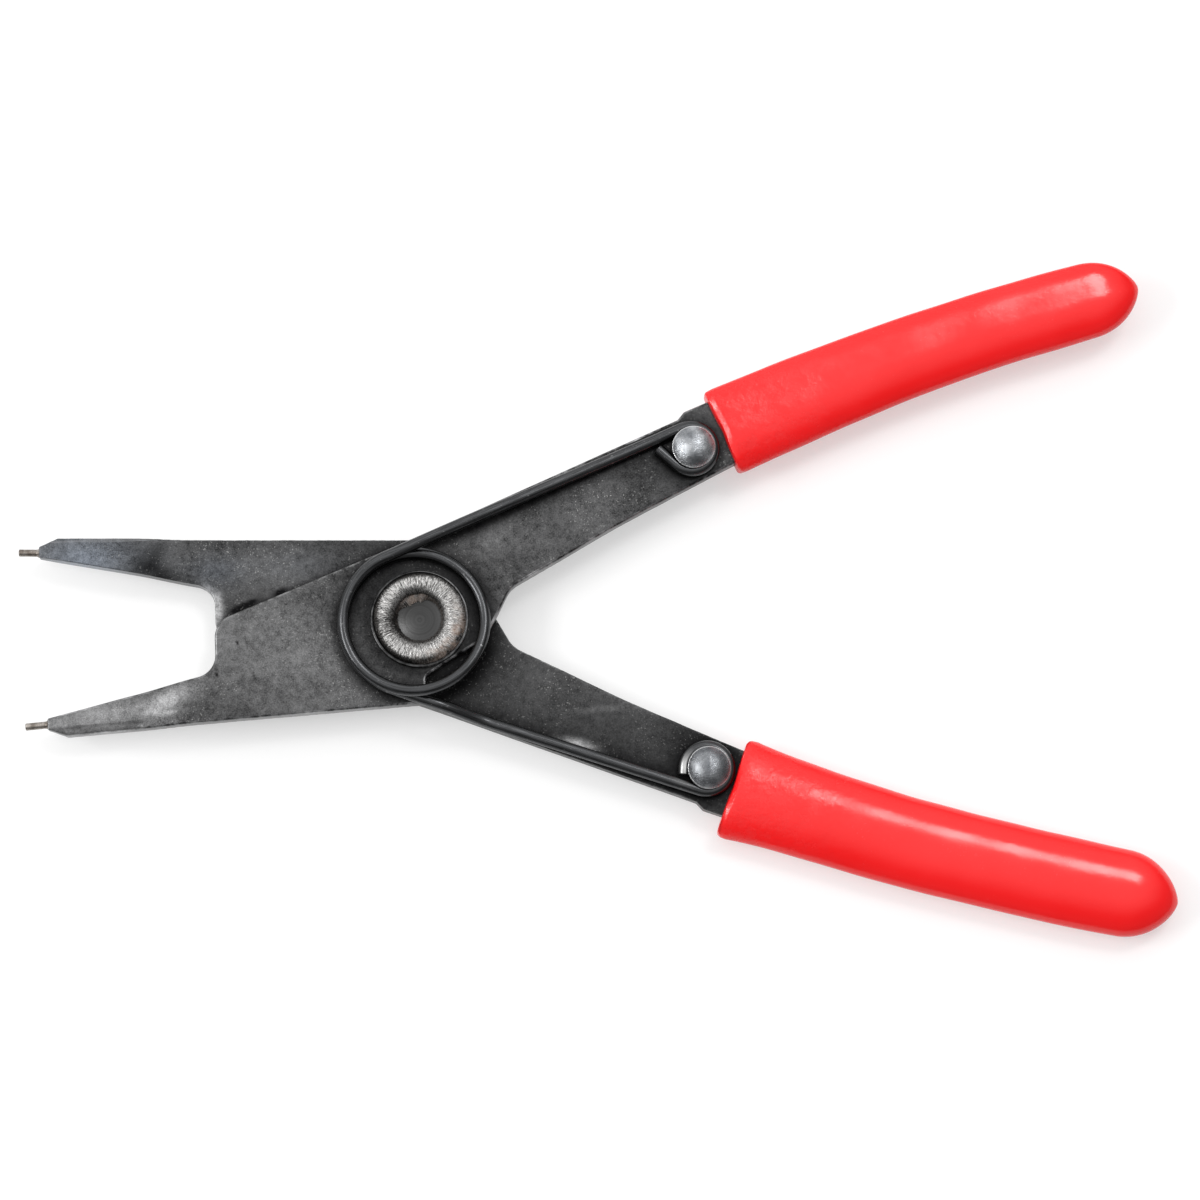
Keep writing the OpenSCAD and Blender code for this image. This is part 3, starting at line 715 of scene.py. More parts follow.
# %% The rivet's profile
HEAD_R, HEAD_T, HEAD_EDGE = 8.5, 2.6, 0.65
SHANK_R, ROLL_FOOT_R = 5.5, 7.0
HOLLOW_R, RIM_R, RIM_H = 4.0, 8.05, 1.9
FLOOR_DEPTH, DISH_RISE = 3.2, 0.45
AXIS_GAP = 0.05
RIM_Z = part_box("pivot_washer")[1][2] / MM


def rivet_profile():
    """Radius and height along [head, roll, wall, gap, floor], and the steps where the last four start. The
    roll is most of an ellipse, and the floor is a parabola."""
    head = np.vstack([
        polyline([[AXIS_GAP, 0], [HEAD_R - HEAD_EDGE, 0]], 0.9)[:-1],
        quarter_round([HEAD_R - HEAD_EDGE, HEAD_EDGE], HEAD_EDGE, -90, 8),
        polyline([[HEAD_R, HEAD_T], [SHANK_R, HEAD_T], [SHANK_R, RIM_Z], [ROLL_FOOT_R, RIM_Z]], 1.2),
    ])
    middle, half = (RIM_R + HOLLOW_R) / 2 + 0.1, (RIM_R - HOLLOW_R) / 2 - 0.1
    a = np.radians(np.linspace(-30, 178, 46))
    roll = np.stack([middle + half * np.cos(a), RIM_Z + RIM_H * (0.34 + 0.66 * np.sin(a))], -1)
    floor_z = RIM_Z + RIM_H - FLOOR_DEPTH
    wall = polyline([roll[-1] + [-0.03, -0.1], [HOLLOW_R - 0.25, floor_z + 0.85]], 0.14)
    gap = polyline([[HOLLOW_R - 0.12, floor_z + 0.6], [HOLLOW_R + 0.05, floor_z + 0.3]], 0.14)
    dish = np.linspace(HOLLOW_R - 0.25, AXIS_GAP, 26)
    floor = np.stack([dish, floor_z + DISH_RISE * (dish / HOLLOW_R) ** 2], -1)
    parts = [head, roll, wall, gap, floor]
    return np.vstack(parts), np.cumsum([len(part) for part in parts[:-1]])


RIVET, (ROLL_AT, WALL_AT, GAP_AT, FLOOR_AT) = rivet_profile()
print("rivet profile of", len(RIVET), "steps, washer's top at", round(RIM_Z, 2), "mm")

# %% Rust and painted shade on the rivet, ways in radians round its axis
RUST_WAY, FLAP_WAY, RUST_WIDE = -0.6, 1.9, 0.7
# Ways round the axis where the roll is painted darker, as shade; a depth below zero paints it lighter, as
# painted light.
SHADED, SHADE_WIDE = [(1.75, 0.3), (3.3, 0.5), (4.6, 0.12), (0.2, -0.3)], 0.6


def toward(points, way, wide):
    """Bell over the angle between a point's direction from the axis and a way."""
    turn = np.arctan2(points[:, 1], points[:, 0])
    return bell(np.angle(np.exp(1j * (turn - way))), wide)


def rivet_rust_and_shade(points, step):
    """Rust on one side of the roll and on the flap. Painted shade along the roll's two edges, more or less of
    it towards the ways in SHADED, where a depth below zero is painted light, and painted shade on the wall
    and in the gap under it."""
    r = np.hypot(points[:, 0], points[:, 1])
    flap = toward(points, FLAP_WAY, RUST_WIDE)
    on_wall = (step >= WALL_AT) & (step < GAP_AT)
    rust = (step >= ROLL_AT) * toward(points, RUST_WAY, RUST_WIDE) * smooth((r - 5.4) / 1.2) * 0.75
    rust = np.maximum(rust, on_wall * (0.2 + 0.45 * flap))
    # Painted shade: band darkens the roll's inner and outer slopes, shade darkens or lightens it towards the
    # ways in SHADED, and the wall and the gap are painted dark.
    band = 0.3 * smooth((6.2 - r) / 1.3) + 0.75 * smooth((r - 6.7) / 0.9)
    shade = sum(deep * toward(points, way, SHADE_WIDE) for way, deep in SHADED)
    soot = np.where(step < ROLL_AT, 0.3, band + shade)
    soot = np.where(on_wall, 0.75 - 0.7 * flap, soot)
    return rust, np.where((step >= GAP_AT) & (step < FLOOR_AT), 1.6, soot)


# %% The rolled rivet
RIM_SIDES = 384
SCORE_DEPTH, ROLL_UNEVEN = 0.04, 0.03
LIP_TORN, TEAR_OUT, TEAR_UP = 0.10, 0.16, 0.22
FLAP_AT, FLAP_HALF, FLAP_LEAN = 1.85, 0.62, 0.85


def pivot_rivet():
    """The profile carried round. On the roll, ridges across it come from a wander over the angle; at the lip
    and at the wall's torn end the radius wanders more; on the flap's side the wall leans inwards."""
    share = np.arange(RIM_SIDES) / RIM_SIDES
    step = np.arange(len(RIVET))[:, None]
    on_roll, down_wall = np.zeros((2, len(RIVET), 1))
    on_roll[ROLL_AT:WALL_AT, 0] = np.sin(np.linspace(0.05, np.pi * 0.9, WALL_AT - ROLL_AT))
    down_wall[WALL_AT:GAP_AT, 0] = np.linspace(0, 1, GAP_AT - WALL_AT)
    on_lip, on_tear = bell(step - WALL_AT, 3.2), bell(step - GAP_AT, 1.6)
    scores = wander(share, 21, 70, 60) + 0.6 * wander(share, 22, 60, 20)
    torn = np.minimum(wander(share, 23, 40, 7) + 0.6 * wander(share, 24, 40, 40), 0.6)
    flap = np.exp(-(((2 * np.pi * share - FLAP_AT) / FLAP_HALF) ** 4))
    radius = RIVET[:, :1] + LIP_TORN * on_lip * torn + ROLL_UNEVEN * on_roll * wander(share, 25)
    radius = radius + TEAR_OUT * on_tear * torn - FLAP_LEAN * down_wall * flap * (1 + 0.45 * torn)
    height = RIVET[:, 1:] + SCORE_DEPTH * on_roll * scores + TEAR_UP * on_tear * torn
    points, faces, lay = skin(turned_rings(radius, height, RIM_SIDES))
    step = np.concatenate([np.repeat(step, RIM_SIDES), [0, len(RIVET) - 1]])
    rust, soot = rivet_rust_and_shade(points, step)
    add_piece("rolled_rivet", points, faces, "pivot_rivet", "back_lever", "bright_steel", ROLLED_STEEL,
              lay=lay, rust=rust, soot=soot, floor=(step >= FLOOR_AT).astype(float))


pivot_rivet()

# %% The washer under the roll
WASHER_SIDES, WASHER_SOFT, WASHER_MIDDLE = 160, 0.22, 7.2
WASHER_TONE, WASHER_WEAR, WASHER_WORN = 0.056, 0.22, 0.25


def rivet_washer():
    """Flat ring with rounded outer corners: one closed profile carried round the axis."""
    low, high = (np.array(corner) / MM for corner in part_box("pivot_washer"))
    inner, outer = SHANK_R + PLAY, high[0]
    profile = np.vstack([
        [[inner, low[2]]],
        quarter_round([outer - WASHER_SOFT, low[2] + WASHER_SOFT], WASHER_SOFT, -90, 5),
        quarter_round([outer - WASHER_SOFT, high[2] - WASHER_SOFT], WASHER_SOFT, 0, 5),
        [[WASHER_MIDDLE, high[2]], [inner, high[2]]],
    ])
    points, faces, _ = skin(turned_rings(profile[:, 0], profile[:, 1], WASHER_SIDES), loop=True)
    worn = np.hypot(points[:, 0], points[:, 1]) > outer - WASHER_WORN
    none = np.zeros(len(points))
    add_piece("rivet_washer", points, faces, "pivot_washer", "back_lever", "black_steel", BLACK_OXIDE,
              wear=WASHER_WEAR * worn, tone=none + WASHER_TONE, blued=none)


rivet_washer()

# %% [markdown]
# ## The spring rivets
# Two domed rivets hold the hooks of the spring. The head has a thin edge, a small step and a shallow dome;
# the tail behind the plate is peened. The dome is brushed one way, so each glint on it is drawn out across
# the brush marks. An anisotropic shader would do that as well, but it needs tangents, and fine grooves in
# the bump need none.


# %% Brushed dome steel
def dome_steel():
    """Bluish metal with faint clouds in its shine, fine scratches, and grooves of a brush along X, too fine
    to see, which draw each glint out across them."""
    f = Finish("dome_steel", Metallic=1.0)
    clouds = f.noise(420, 5, 0.6)
    hair = f.ramp(f.noise(900, 3, 0.5, (1.0, 0.08, 1.0)), 0.62, 0.72)
    grooves = f.noise(9000, 2, 0.5, (0.05, 1.0, 1.0))
    metal = f.layer(f.ramp(clouds, 0.3, 0.7), (0.15, 0.158, 0.17), (0.50, 0.515, 0.535))
    metal = f.layer(f.times(hair, 0.35), metal, (0.6, 0.61, 0.62))
    metal = f.layer(f.attribute("dull"), metal, (0.07, 0.074, 0.082))
    metal = f.layer(f.times(f.attribute("wear"), 0.8), metal, (0.8, 0.8, 0.8))
    f.use(Base_Color=metal, Roughness=f.ramp(clouds, 0.3, 0.7, 0.2, 0.32))
    f.bump((clouds, 0.00005), (hair, 0.000006), (grooves, 0.000055))
    return f.done()


DOME_STEEL = dome_steel()

# %% Two domed rivets
PIN_R = 2.45
TAIL_R, TAIL_H, TAIL_SOFT = 3.5, 1.0, 0.5
DOME_HEAD_H, DOME_EDGE, DOME_STEP, DOME_LIFT = 1.9, 0.38, 0.16, 0.05
DOME_UNEVEN, DOME_FLAT, DOME_FLAT_R = 0.012, 0.035, 1.6
DOME_SIDES = 128


def dome_profile(head_r, crown):
    """Radius and height of tail, shank, head and dome. The dome is an arc of a ball, whose radius is the sum
    of the squares of the dome's radius and rise, over twice the rise."""
    tail = quarter_round([TAIL_R - TAIL_SOFT, TAIL_SOFT], TAIL_SOFT, -90, 7)
    dome_r, rise = head_r - DOME_STEP, DOME_HEAD_H - DOME_EDGE - DOME_LIFT
    ball = (dome_r**2 + rise**2) / (2 * rise)
    arc = np.linspace(np.arcsin(dome_r / ball), 0.015, 34)
    dome = np.stack([ball * np.sin(arc), crown + DOME_LIFT + rise - ball + ball * np.cos(arc)], -1)
    under = crown - DOME_EDGE
    below = polyline([
        [AXIS_GAP, 0], [TAIL_R - TAIL_SOFT, 0], *tail[1:].tolist(), [TAIL_R, TAIL_H], [PIN_R, TAIL_H],
        [PIN_R, under], [head_r - 0.1, under], [head_r, under + 0.1],
        [head_r, crown - 0.1], [head_r - 0.08, crown], [dome_r + 0.02, crown + 0.02]], 0.8)
    return np.vstack([below, dome])


def dome_rivet(name, node, body, side, dull, seed):
    """Profile carried round, a little uneven in its radius and flattened at the dome's top, with its size
    and height from the CAD rivet."""
    low, high = (np.array(corner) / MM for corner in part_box(node))
    head_r = (high[0] - low[0]) / 2
    crown = high[2] - low[2] - DOME_HEAD_H + DOME_EDGE
    out, up = np.hsplit(dome_profile(head_r, crown), 2)
    share = np.arange(DOME_SIDES) / DOME_SIDES
    radius = out * (1 + DOME_UNEVEN * wander(share, seed, 5) * (out > PIN_R + 0.15))
    uneven_flat = 1 + np.clip(out / 2.2, 0, 1) ** 2 * wander(share, seed + 1, 4)
    height = low[2] + up - DOME_FLAT * bell(out, DOME_FLAT_R) * (up > crown) * uneven_flat
    points, faces, _ = skin(turned_rings(radius, height, DOME_SIDES))
    r = np.hypot(points[:, 0], points[:, 1])
    wear = bell(r - head_r + 0.09, 0.06) * (points[:, 2] > low[2] + crown - 0.15)
    points = points + [PIN[0], side * PIN[1], 0]
    add_piece(name, points, faces, node, body, "polished_steel", DOME_STEEL,
              wear=wear, dull=np.full(len(points), dull))


dome_rivet("front_dome_rivet", "front_spring_rivet", "front_lever", side=1, dull=0.0, seed=31)
dome_rivet("back_dome_rivet", "back_spring_rivet", "back_lever", side=-1, dull=0.45, seed=41)

# %% [markdown]
# ## The tip pins
# Fine hardened pins, pressed into the noses. They are ground round, so their scores run round them, and
# heat has turned them a little brown.


# %% Ground tip steel
def tip_steel():
    """Brownish metal with fine lines round the pin: noise over the way along it."""
    f = Finish("tip_steel", Metallic=1.0)
    lines = f.noise(9, 4, 0.6, (0.06, 0.06, 1.0), f.lay())
    stain = f.noise(900, 4)
    metal = f.layer(f.ramp(stain, 0.35, 0.65), (0.17, 0.145, 0.125), (0.42, 0.39, 0.36))
    metal = f.layer(f.ramp(lines, 0.5, 0.75, 0, 0.6), metal, (0.08, 0.07, 0.065))
    f.use(Base_Color=metal, Roughness=f.ramp(lines, 0.3, 0.7, 0.3, 0.48))
    f.bump((lines, 0.00003), (stain, 0.00001))
    return f.done()


TIP_STEEL = tip_steel()

# %% Two tip pins
TIP_R, TIP_LEN, TIP_SHANK_R, TIP_SHANK_LEN, TIP_SOFT = 0.62, 3.5, 0.8, 9.0, 0.17
TIP_SLOPE = np.radians(3.2)
FRONT_NOSE_BACK, FRONT_TIP_MORE = 0.8, 0.35
TIP_SIDES = 48


def tip_pin(name, node, body, side, back, more):
    """Shank, shoulder and rounded point as a profile along the pin's own axis, laid along the nose."""
    length = TIP_LEN + more
    shank = polyline([
        [0.03, -TIP_SHANK_LEN], [TIP_SHANK_R, -TIP_SHANK_LEN], [TIP_SHANK_R, 0.05], [TIP_R + 0.06, 0.2],
        [TIP_R, 0.42], [TIP_R, length - TIP_SOFT]], 0.25)
    point = quarter_round([TIP_R - TIP_SOFT, length - TIP_SOFT], TIP_SOFT, 0, 6)
    profile = np.vstack([shank[:-1], point, [[0.03, length]]])
    points, faces, lay = skin(turned_rings(profile[:, 0], profile[:, 1], TIP_SIDES))
    out = np.array([-np.cos(TIP_SLOPE), -side * np.sin(TIP_SLOPE), 0])
    across = np.array([-out[1], out[0], 0])
    points = points[:, [2, 0, 1]] @ np.stack([out, across, [0, 0, 1]])
    points = points + [back - JAW_REACH, side * NOSE_Y, PARTING]
    add_piece(name, points, faces, node, body, "tip_steel", TIP_STEEL, lay=lay)


tip_pin("front_point", "front_tip_pin", "front_lever", side=1, back=FRONT_NOSE_BACK, more=FRONT_TIP_MORE)
tip_pin("back_point", "back_tip_pin", "back_lever", side=-1, back=0.0, more=0.0)

# %% [markdown]
# ## The return spring
# One length of spring wire: a hook round the front rivet, a leg, nearly a turn and a half round the pivot, a
# second leg that drops to the back plate, and a hook round the back rivet. A curve object with a bevel
# would make the tube, but its path is arcs and straight lines, so arrays give it exactly. The wire crosses
# the joint, so it is tied to neither lever.


# %% Drawn spring wire
def spring_wire():
    """Dark satin metal with lines drawn along the wire, and bare steel at the cut ends."""
    f = Finish("spring_wire", Metallic=1.0)
    lines = f.noise(5, 5, 0.65, (1.0, 1.0, 0.05), f.lay())
    specks = f.ramp(f.noise(1700, 3), 0.66, 0.74)
    metal = f.layer(f.ramp(lines, 0.3, 0.7), (0.034, 0.0345, 0.0355), (0.092, 0.094, 0.098))
    metal = f.layer(f.times(specks, 0.4), metal, (0.4, 0.4, 0.4))
    metal = f.layer(f.attribute("wear"), metal, (0.62, 0.62, 0.61))
    f.use(Base_Color=metal, Roughness=f.ramp(lines, 0.3, 0.7, 0.22, 0.32))
    f.bump((lines, 0.000012))
    return f.done()


SPRING_WIRE = spring_wire()

# %% The wire's path
WIRE_R = 1.0
WIRE_GAP = 0.1
COIL_R = 12.1
COIL = np.array([-0.9, -0.7])
HOOK_SLACK = 0.35
HOOK_R = PIN_R + WIRE_GAP + HOOK_SLACK + WIRE_R
FRONT_TURN, FRONT_TAIL = np.radians(246), 4.2
BACK_TURN, BACK_TAIL = np.radians(284), 1.2
CLIMB = np.radians([200, 325])
LEG_CLEAR, LEG_DOWN = 0.75 * COIL_R, 0.95
DROP_CLEAR, DROP_LEN = 0.4, 10.0
FRONT_Z = PLAY / 2 + PLATE_T + WIRE_GAP + WIRE_R
BACK_Z = -PLAY / 2 + WIRE_GAP + WIRE_R
PITCH = 2 * WIRE_R + WIRE_GAP
print("hooks of", HOOK_R, "mm radius, coil climbs", PITCH, "mm a turn")


def polar(centre, radius, angle):
    """Points at that angle and radius from a centre."""
    return centre + radius * np.stack([np.cos(angle), np.sin(angle)], -1)


def leg_slope(hook):
    """Slope of the line that touches the coil and the hook on their outer sides."""
    d = hook - COIL
    return np.arctan2(abs(d[1]), d[0]) - np.arcsin((COIL_R - HOOK_R) / np.linalg.norm(d))


def spring_path():
    """Front tail, hook and leg, coil, back leg, hook and tail, each as plan points with their heights."""
    front, back = PIN - [HOOK_SLACK, 0], PIN * [1, -1] - [HOOK_SLACK, 0]
    rise, fall = leg_slope(front), leg_slope(back)
    quarter = np.pi / 2
    front_hook = polar(front, HOOK_R, quarter + rise - FRONT_TURN * np.linspace(1, 0, 60))
    tail_turn = quarter + rise - FRONT_TURN
    tail_way = [np.sin(tail_turn), -np.cos(tail_turn)]
    front_tail = front_hook[0] + np.linspace(FRONT_TAIL, 0, 12, endpoint=False)[:, None] * tail_way
    turn = np.linspace(3 * np.pi - rise - fall, 0, 300)
    coil = polar(COIL, COIL_R, 3 * quarter - fall - turn)
    leg = np.linspace(np.linalg.norm(front_hook[-1] - coil[0]), 0, 110)[1:-1]
    front_leg = coil[0] + leg[:, None] * [np.cos(rise), np.sin(rise)]
    back_hook = polar(back, HOOK_R, -quarter - fall + BACK_TURN * np.linspace(0, 1, 60))
    run = np.linspace(0, np.linalg.norm(back_hook[0] - coil[-1]), 110)[1:-1]
    back_leg = coil[-1] + run[:, None] * [np.cos(fall), -np.sin(fall)]
    end_turn = -quarter - fall + BACK_TURN
    end_way = [-np.sin(end_turn), np.cos(end_turn)]
    back_tail = back_hook[-1] + np.linspace(0, BACK_TAIL, 12)[1:, None] * end_way
    drop_from = (RELIEF_X + WIRE_R + DROP_CLEAR - coil[-1][0]) / np.cos(fall)
    full_leg = leg[0] + (leg[0] - leg[1])
    heights = [
        np.full(len(front_tail), FRONT_Z), np.full(len(front_hook), FRONT_Z),
        FRONT_Z + PITCH * (1 - smooth((leg - LEG_CLEAR) / (LEG_DOWN * full_leg - LEG_CLEAR))),
        FRONT_Z + PITCH * smooth((turn - CLIMB[0]) / (CLIMB[1] - CLIMB[0])),
        FRONT_Z + (BACK_Z - FRONT_Z) * smooth((run - drop_from) / DROP_LEN),
        np.full(len(back_hook), BACK_Z), np.full(len(back_tail), BACK_Z),
    ]
    plan = np.vstack([front_tail, front_hook, front_leg, coil, back_leg, back_hook, back_tail])
    return np.column_stack([plan, np.concatenate(heights) + PARTING])


# %% The wire
WIRE_SIDES = 28
CUT_REACH = 0.1
FRONT_END_WEAR, BACK_END_WEAR = 0.5, 0.9
HOOK_RUB, HOOK_RUB_R, HOOK_RUB_WEAR = PIN * [1, -1] - [HOOK_SLACK + 3.4, -0.4], 1.8, 0.75


def return_spring():
    """Circle carried along the path: across is level, up is square to it. The cut ends round off briefly."""
    path = spring_path()
    along = unit(np.gradient(path, axis=0))
    across = unit(np.cross([0, 0, 1], along))
    up = np.cross(along, across)
    turn = round_angles(WIRE_SIDES)[:, None]
    circle = across[:, None] * np.cos(turn) + up[:, None] * np.sin(turn)
    rings = path[:, None] + WIRE_R * circle
    shrink = np.array([0.03, 0.55, 0.86, 0.95])[:, None, None]
    reach = CUT_REACH - np.array([0.0, 0.0, 0.0, 0.05])[:, None, None]
    first = path[0] - along[0] * reach + WIRE_R * shrink * circle[0]
    last = path[-1] + along[-1] * reach[::-1] + WIRE_R * shrink[::-1] * circle[-1]
    points, faces, lay = skin(np.concatenate([first, rings, last]))
    wear = np.zeros(len(points))
    cut = len(shrink) * WIRE_SIDES
    wear[:cut] = FRONT_END_WEAR
    wear[-cut - 2:-2] = BACK_END_WEAR
    wear[-2:] = [FRONT_END_WEAR, BACK_END_WEAR]
    rub = bell(np.linalg.norm(points[:, :2] - HOOK_RUB, axis=1), HOOK_RUB_R)
    wear = np.maximum(wear, HOOK_RUB_WEAR * rub * (points[:, 0] < PIN[0] - PIN_R - 0.05))
    piece = add_piece("coil_spring", points, faces, "return_spring", None, "spring_wire", SPRING_WIRE,
                      lay=lay, wear=wear)
    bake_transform(piece)


return_spring()

# %% [markdown]
# ## Front and back lever
# The back lever is the front one turned half round the X axis, as in the press shop: no mirror is needed,
# so no face turns inside out. The front nose is ground back a little further. Rubbed and oily places differ
# from lever to lever. Each is a soft spot in an attribute named tone: how light the black is there. A few
# spots darken it as painted shade: at the back jaw's bend, in the gap along the overlap and in a crease of
# the front jaw. Beside the wire, round the washer, along the overlap and in the relief the tone falls as
# painted shade, with some oil and grime. Painting weights by hand would do as well; distances need no brush.


# %% Tone of the two levers
def spots_tone(plan, base, spots):
    """Base tone plus soft spots: each falls off as a bell over an ellipse turned by an angle."""
    tone = np.full(len(plan), base)
    for x, y, long, wide, angle, amount in spots:
        c, s = np.cos(np.radians(angle)), np.sin(np.radians(angle))
        d = plan - [x, y]
        along, across = (d @ [c, s]) / long, (d @ [-s, c]) / wide
        tone += amount * np.exp(-along**2 - across**2)
    return tone.clip(0.004)


# Painted shade beside a line, with some oil and grime in it: the tone falls near the line.
def shade_and_grime(plan, line, reach, depth):
    """Share of the tone left beside a line: one less a bell over the distance to its nearest point."""
    return 1 - depth * bell(nearest(plan, line), reach)


# %% Spots of the two levers: x, y, half length, half width, angle in degrees, amount
FRONT_SPOTS = [
    (-44.6, -12.2, 4.2, 1.1, 18, 0.09), (-41.0, -11.0, 3.6, 1.7, 24, 0.09), (-46, -13.9, 2.6, 0.5, 6, 0.12),
    # The narrow spot of -0.08 along the front jaw's crease is painted shade.
    (-43.0, -13.5, 3.0, 0.2, 7, -0.08), (-38.4, -10.2, 1.6, 0.9, 60, 0.05), (-49, -12.6, 3.0, 0.5, 14, 0.06),
    (-43.4, -14.2, 1.6, 0.4, 10, 0.12), (-55, -14.2, 9, 2.6, 8, 0.15), (-26, -4, 13, 11, 0, 0.065),
    (-12, -8, 9, 6, 0, 0.035), (30, 16, 13, 5, 24, 0.015), (46, 26, 9, 8, 24, -0.035),
    (17, 12, 5, 4, 40, 0.02), (12.5, 13.5, 3.0, 1.8, 30, 0.03), (16.5, 9.5, 2.5, 1.2, -30, -0.03),
    *[(*pock, POCK_R, POCK_R, 0, -0.12) for pock in POCKS],
]
BACK_SPOTS = [
    # The two spots of -0.042 at the back jaw's bend are painted shade.
    (-57, 13.5, 8, 5, -4, 0.15), (-45.5, 13.2, 3.2, 1.7, 50, -0.042), (-44, 10.5, 4.5, 1.6, -15, -0.042),
    (-26, 11, 13, 5, 0, 0.055), (-37, 12, 5, 4, 0, 0.035), (26.0, -22.5, 2.6, 0.8, -18, 1.1),
    (31, -16.4, 6, 0.6, 3, 0.04), (32, -14, 9, 2.0, -22, 0.015), (48, -26, 9, 8, -24, -0.02),
    (22, -11, 5, 3, -30, 0.01), (-34.6, 3.2, 3.0, 0.7, 88, 0.30), (-35.6, 6.6, 1.8, 0.7, 125, 0.26),
    # The two spots of -0.3 beside the front plate's edge are a painted shadow in the gap between the plates.
    (-30.2, 4.2, 1.7, 0.4, 22, -0.3), (-23.9, 6.4, 0.8, 0.35, 22, -0.3), (-48, 12.4, 0.9, 3.0, -25, -0.02),
]
BACK_BLUED = [(-57, 13.5, 10, 5, -4, 0.9), (-35, 10.5, 5, 3, 0, 0.5), (-20, 11, 8, 3, 0, 0.2)]
print(len(FRONT_SPOTS), "front spots,", len(BACK_SPOTS), "back spots")

# %% Painted shade with some grime on the two levers: line, reach, depth
FRONT_TONE, BACK_TONE, WALL_TONE = 0.071, 0.039, 0.14
WIRE_LINE = spring_path()[::3, :2]
WASHER_LINE = polar(np.zeros(2), 9.0, np.linspace(0, 2 * np.pi, 60))
OVERLAP_LINE = OUTLINE[(OUTLINE[:, 0] < -4) & (OUTLINE[:, 1] > 0)]
RELIEF_LINE = polar(np.zeros(2), 11.5, np.radians(np.linspace(-85, -30, 20)))
# Painted shade, with some oil and grime, beside the wire, round the washer, along the overlap and in the
# relief.
FRONT_SHADE_AND_GRIME = [(WIRE_LINE, 2.3, 0.94), (WASHER_LINE, 1.6, 0.7)]
BACK_SHADE_AND_GRIME = [(WIRE_LINE, 2.8, 0.92), (OVERLAP_LINE, 0.9, 0.8), (RELIEF_LINE, 3.5, 0.9)]


def lever_tone(plan, base, spots, shade_and_dirt):
    """Spots on the base tone, plus the lighter cut wall, which is darker at the handle, times all painted
    shade and grime.
    """
    x, _, z = LEVER.T
    on_wall = np.abs(z - middle_height(x)) < 0.88 * half_thickness(x)
    wall_tone = on_wall * np.interp(x, [0.0, 10.0], [WALL_TONE, WALL_TONE / 2])
    # Share of the tone left under the painted shade beside each line.
    left = np.prod([shade_and_grime(plan, line, reach, depth) for line, reach, depth in shade_and_dirt], axis=0)
    return (spots_tone(plan, base, spots) + wall_tone) * left


# %% The two levers
GROUND_FROM, GROUND_LEN = -50.0, 12.0
parting = np.array([0, 0, PARTING])
ground_back = FRONT_NOSE_BACK * smooth((GROUND_FROM - LEVER[:, 0]) / GROUND_LEN)
ground = LEVER + ground_back[:, None] * [1, 0, 0]
turned = LEVER * [1, -1, -1]
front_plan, back_plan = LEVER[:, :2], turned[:, :2]
add_piece(
    "front_plate", ground + parting, LEVER_FACES, "front_lever_plate", "front_lever", "black_steel",
    BLACK_OXIDE, wear=LEVER_WEAR, tone=lever_tone(front_plan, FRONT_TONE, FRONT_SPOTS, FRONT_SHADE_AND_GRIME),
    blued=np.zeros(len(LEVER)))
add_piece(
    "back_plate", turned + parting, LEVER_FACES, "back_lever_plate", "back_lever", "black_steel",
    BLACK_OXIDE, wear=LEVER_WEAR, tone=lever_tone(back_plan, BACK_TONE, BACK_SPOTS, BACK_SHADE_AND_GRIME),
    blued=spots_tone(back_plan, 0.0, BACK_BLUED))

# %% [markdown]
# ## The vinyl grips
# The handles are dipped in liquid vinyl, which sets as a glossy sleeve with a rounded mouth and a blunt
# end. The skin follows the flat tang, thicker on the back handle. A sleeve is a section carried along the
# handle's arc: from the bottom of its pocket, out over the lip, and along the outside to the end. A
# subdivided box would round as well, but the section's squareness would be harder to set.


# %% Red vinyl
def red_vinyl():
    """Glossy red plastic: soft clouds in its colour, smudges in its gloss, fine orange peel."""
    f = Finish("red_vinyl", IOR=1.46)
    clouds = f.noise(60, 4, 0.5)
    smudge = f.noise(140, 6, 0.62)
    peel = f.noise(900, 3, 0.5)
    red = f.layer(f.ramp(clouds, 0.3, 0.7), (0.90, 0.006, 0.007), (0.95, 0.012, 0.014))
    dust = f.times(f.ramp(f.noise(2400, 3, 0.6), 0.62, 0.74), f.ramp(smudge, 0.48, 0.66))
    red = f.layer(f.times(dust, 0.16), red, (0.95, 0.30, 0.30))
    scuff = f.times(f.attribute("scuff"), f.ramp(f.noise(420, 5, 0.65), 0.42, 0.62))
    red = f.layer(f.times(scuff, 0.30), red, (0.80, 0.02, 0.022))
    gloss = f.ramp(smudge, 0.3, 0.7, 0.10, 0.23)
    f.use(Base_Color=red, Roughness=f.math("ADD", gloss, f.times(scuff, 0.2)))
    f.bump((smudge, 0.00005), (peel, 0.00001), (scuff, -0.00003))
    return f.done()


RED_VINYL = red_vinyl()

# %% Lines along a grip
GRIP_END, END_LEN = 7.5, 9.5
FIT, POCKET_END = 0.02, 0.1


def section(half_w, half_t, square, angle):
    """Superellipse in polar form: one over the n-th root of |cos/w|^n + |sin/t|^n, at each angle."""
    wide = np.abs(np.cos(angle) / half_w) ** square + np.abs(np.sin(angle) / half_t) ** square
    return wide ** (-1 / square)


def along_profile(s, stops):
    """Smooth line through a few (way, value) stops: straight between them, rounded by a short average."""
    ways, values = np.array(stops).T
    spread = np.linspace(-3, 3, 7)
    return np.mean([np.interp(s + d, ways, values) for d in spread], 0)


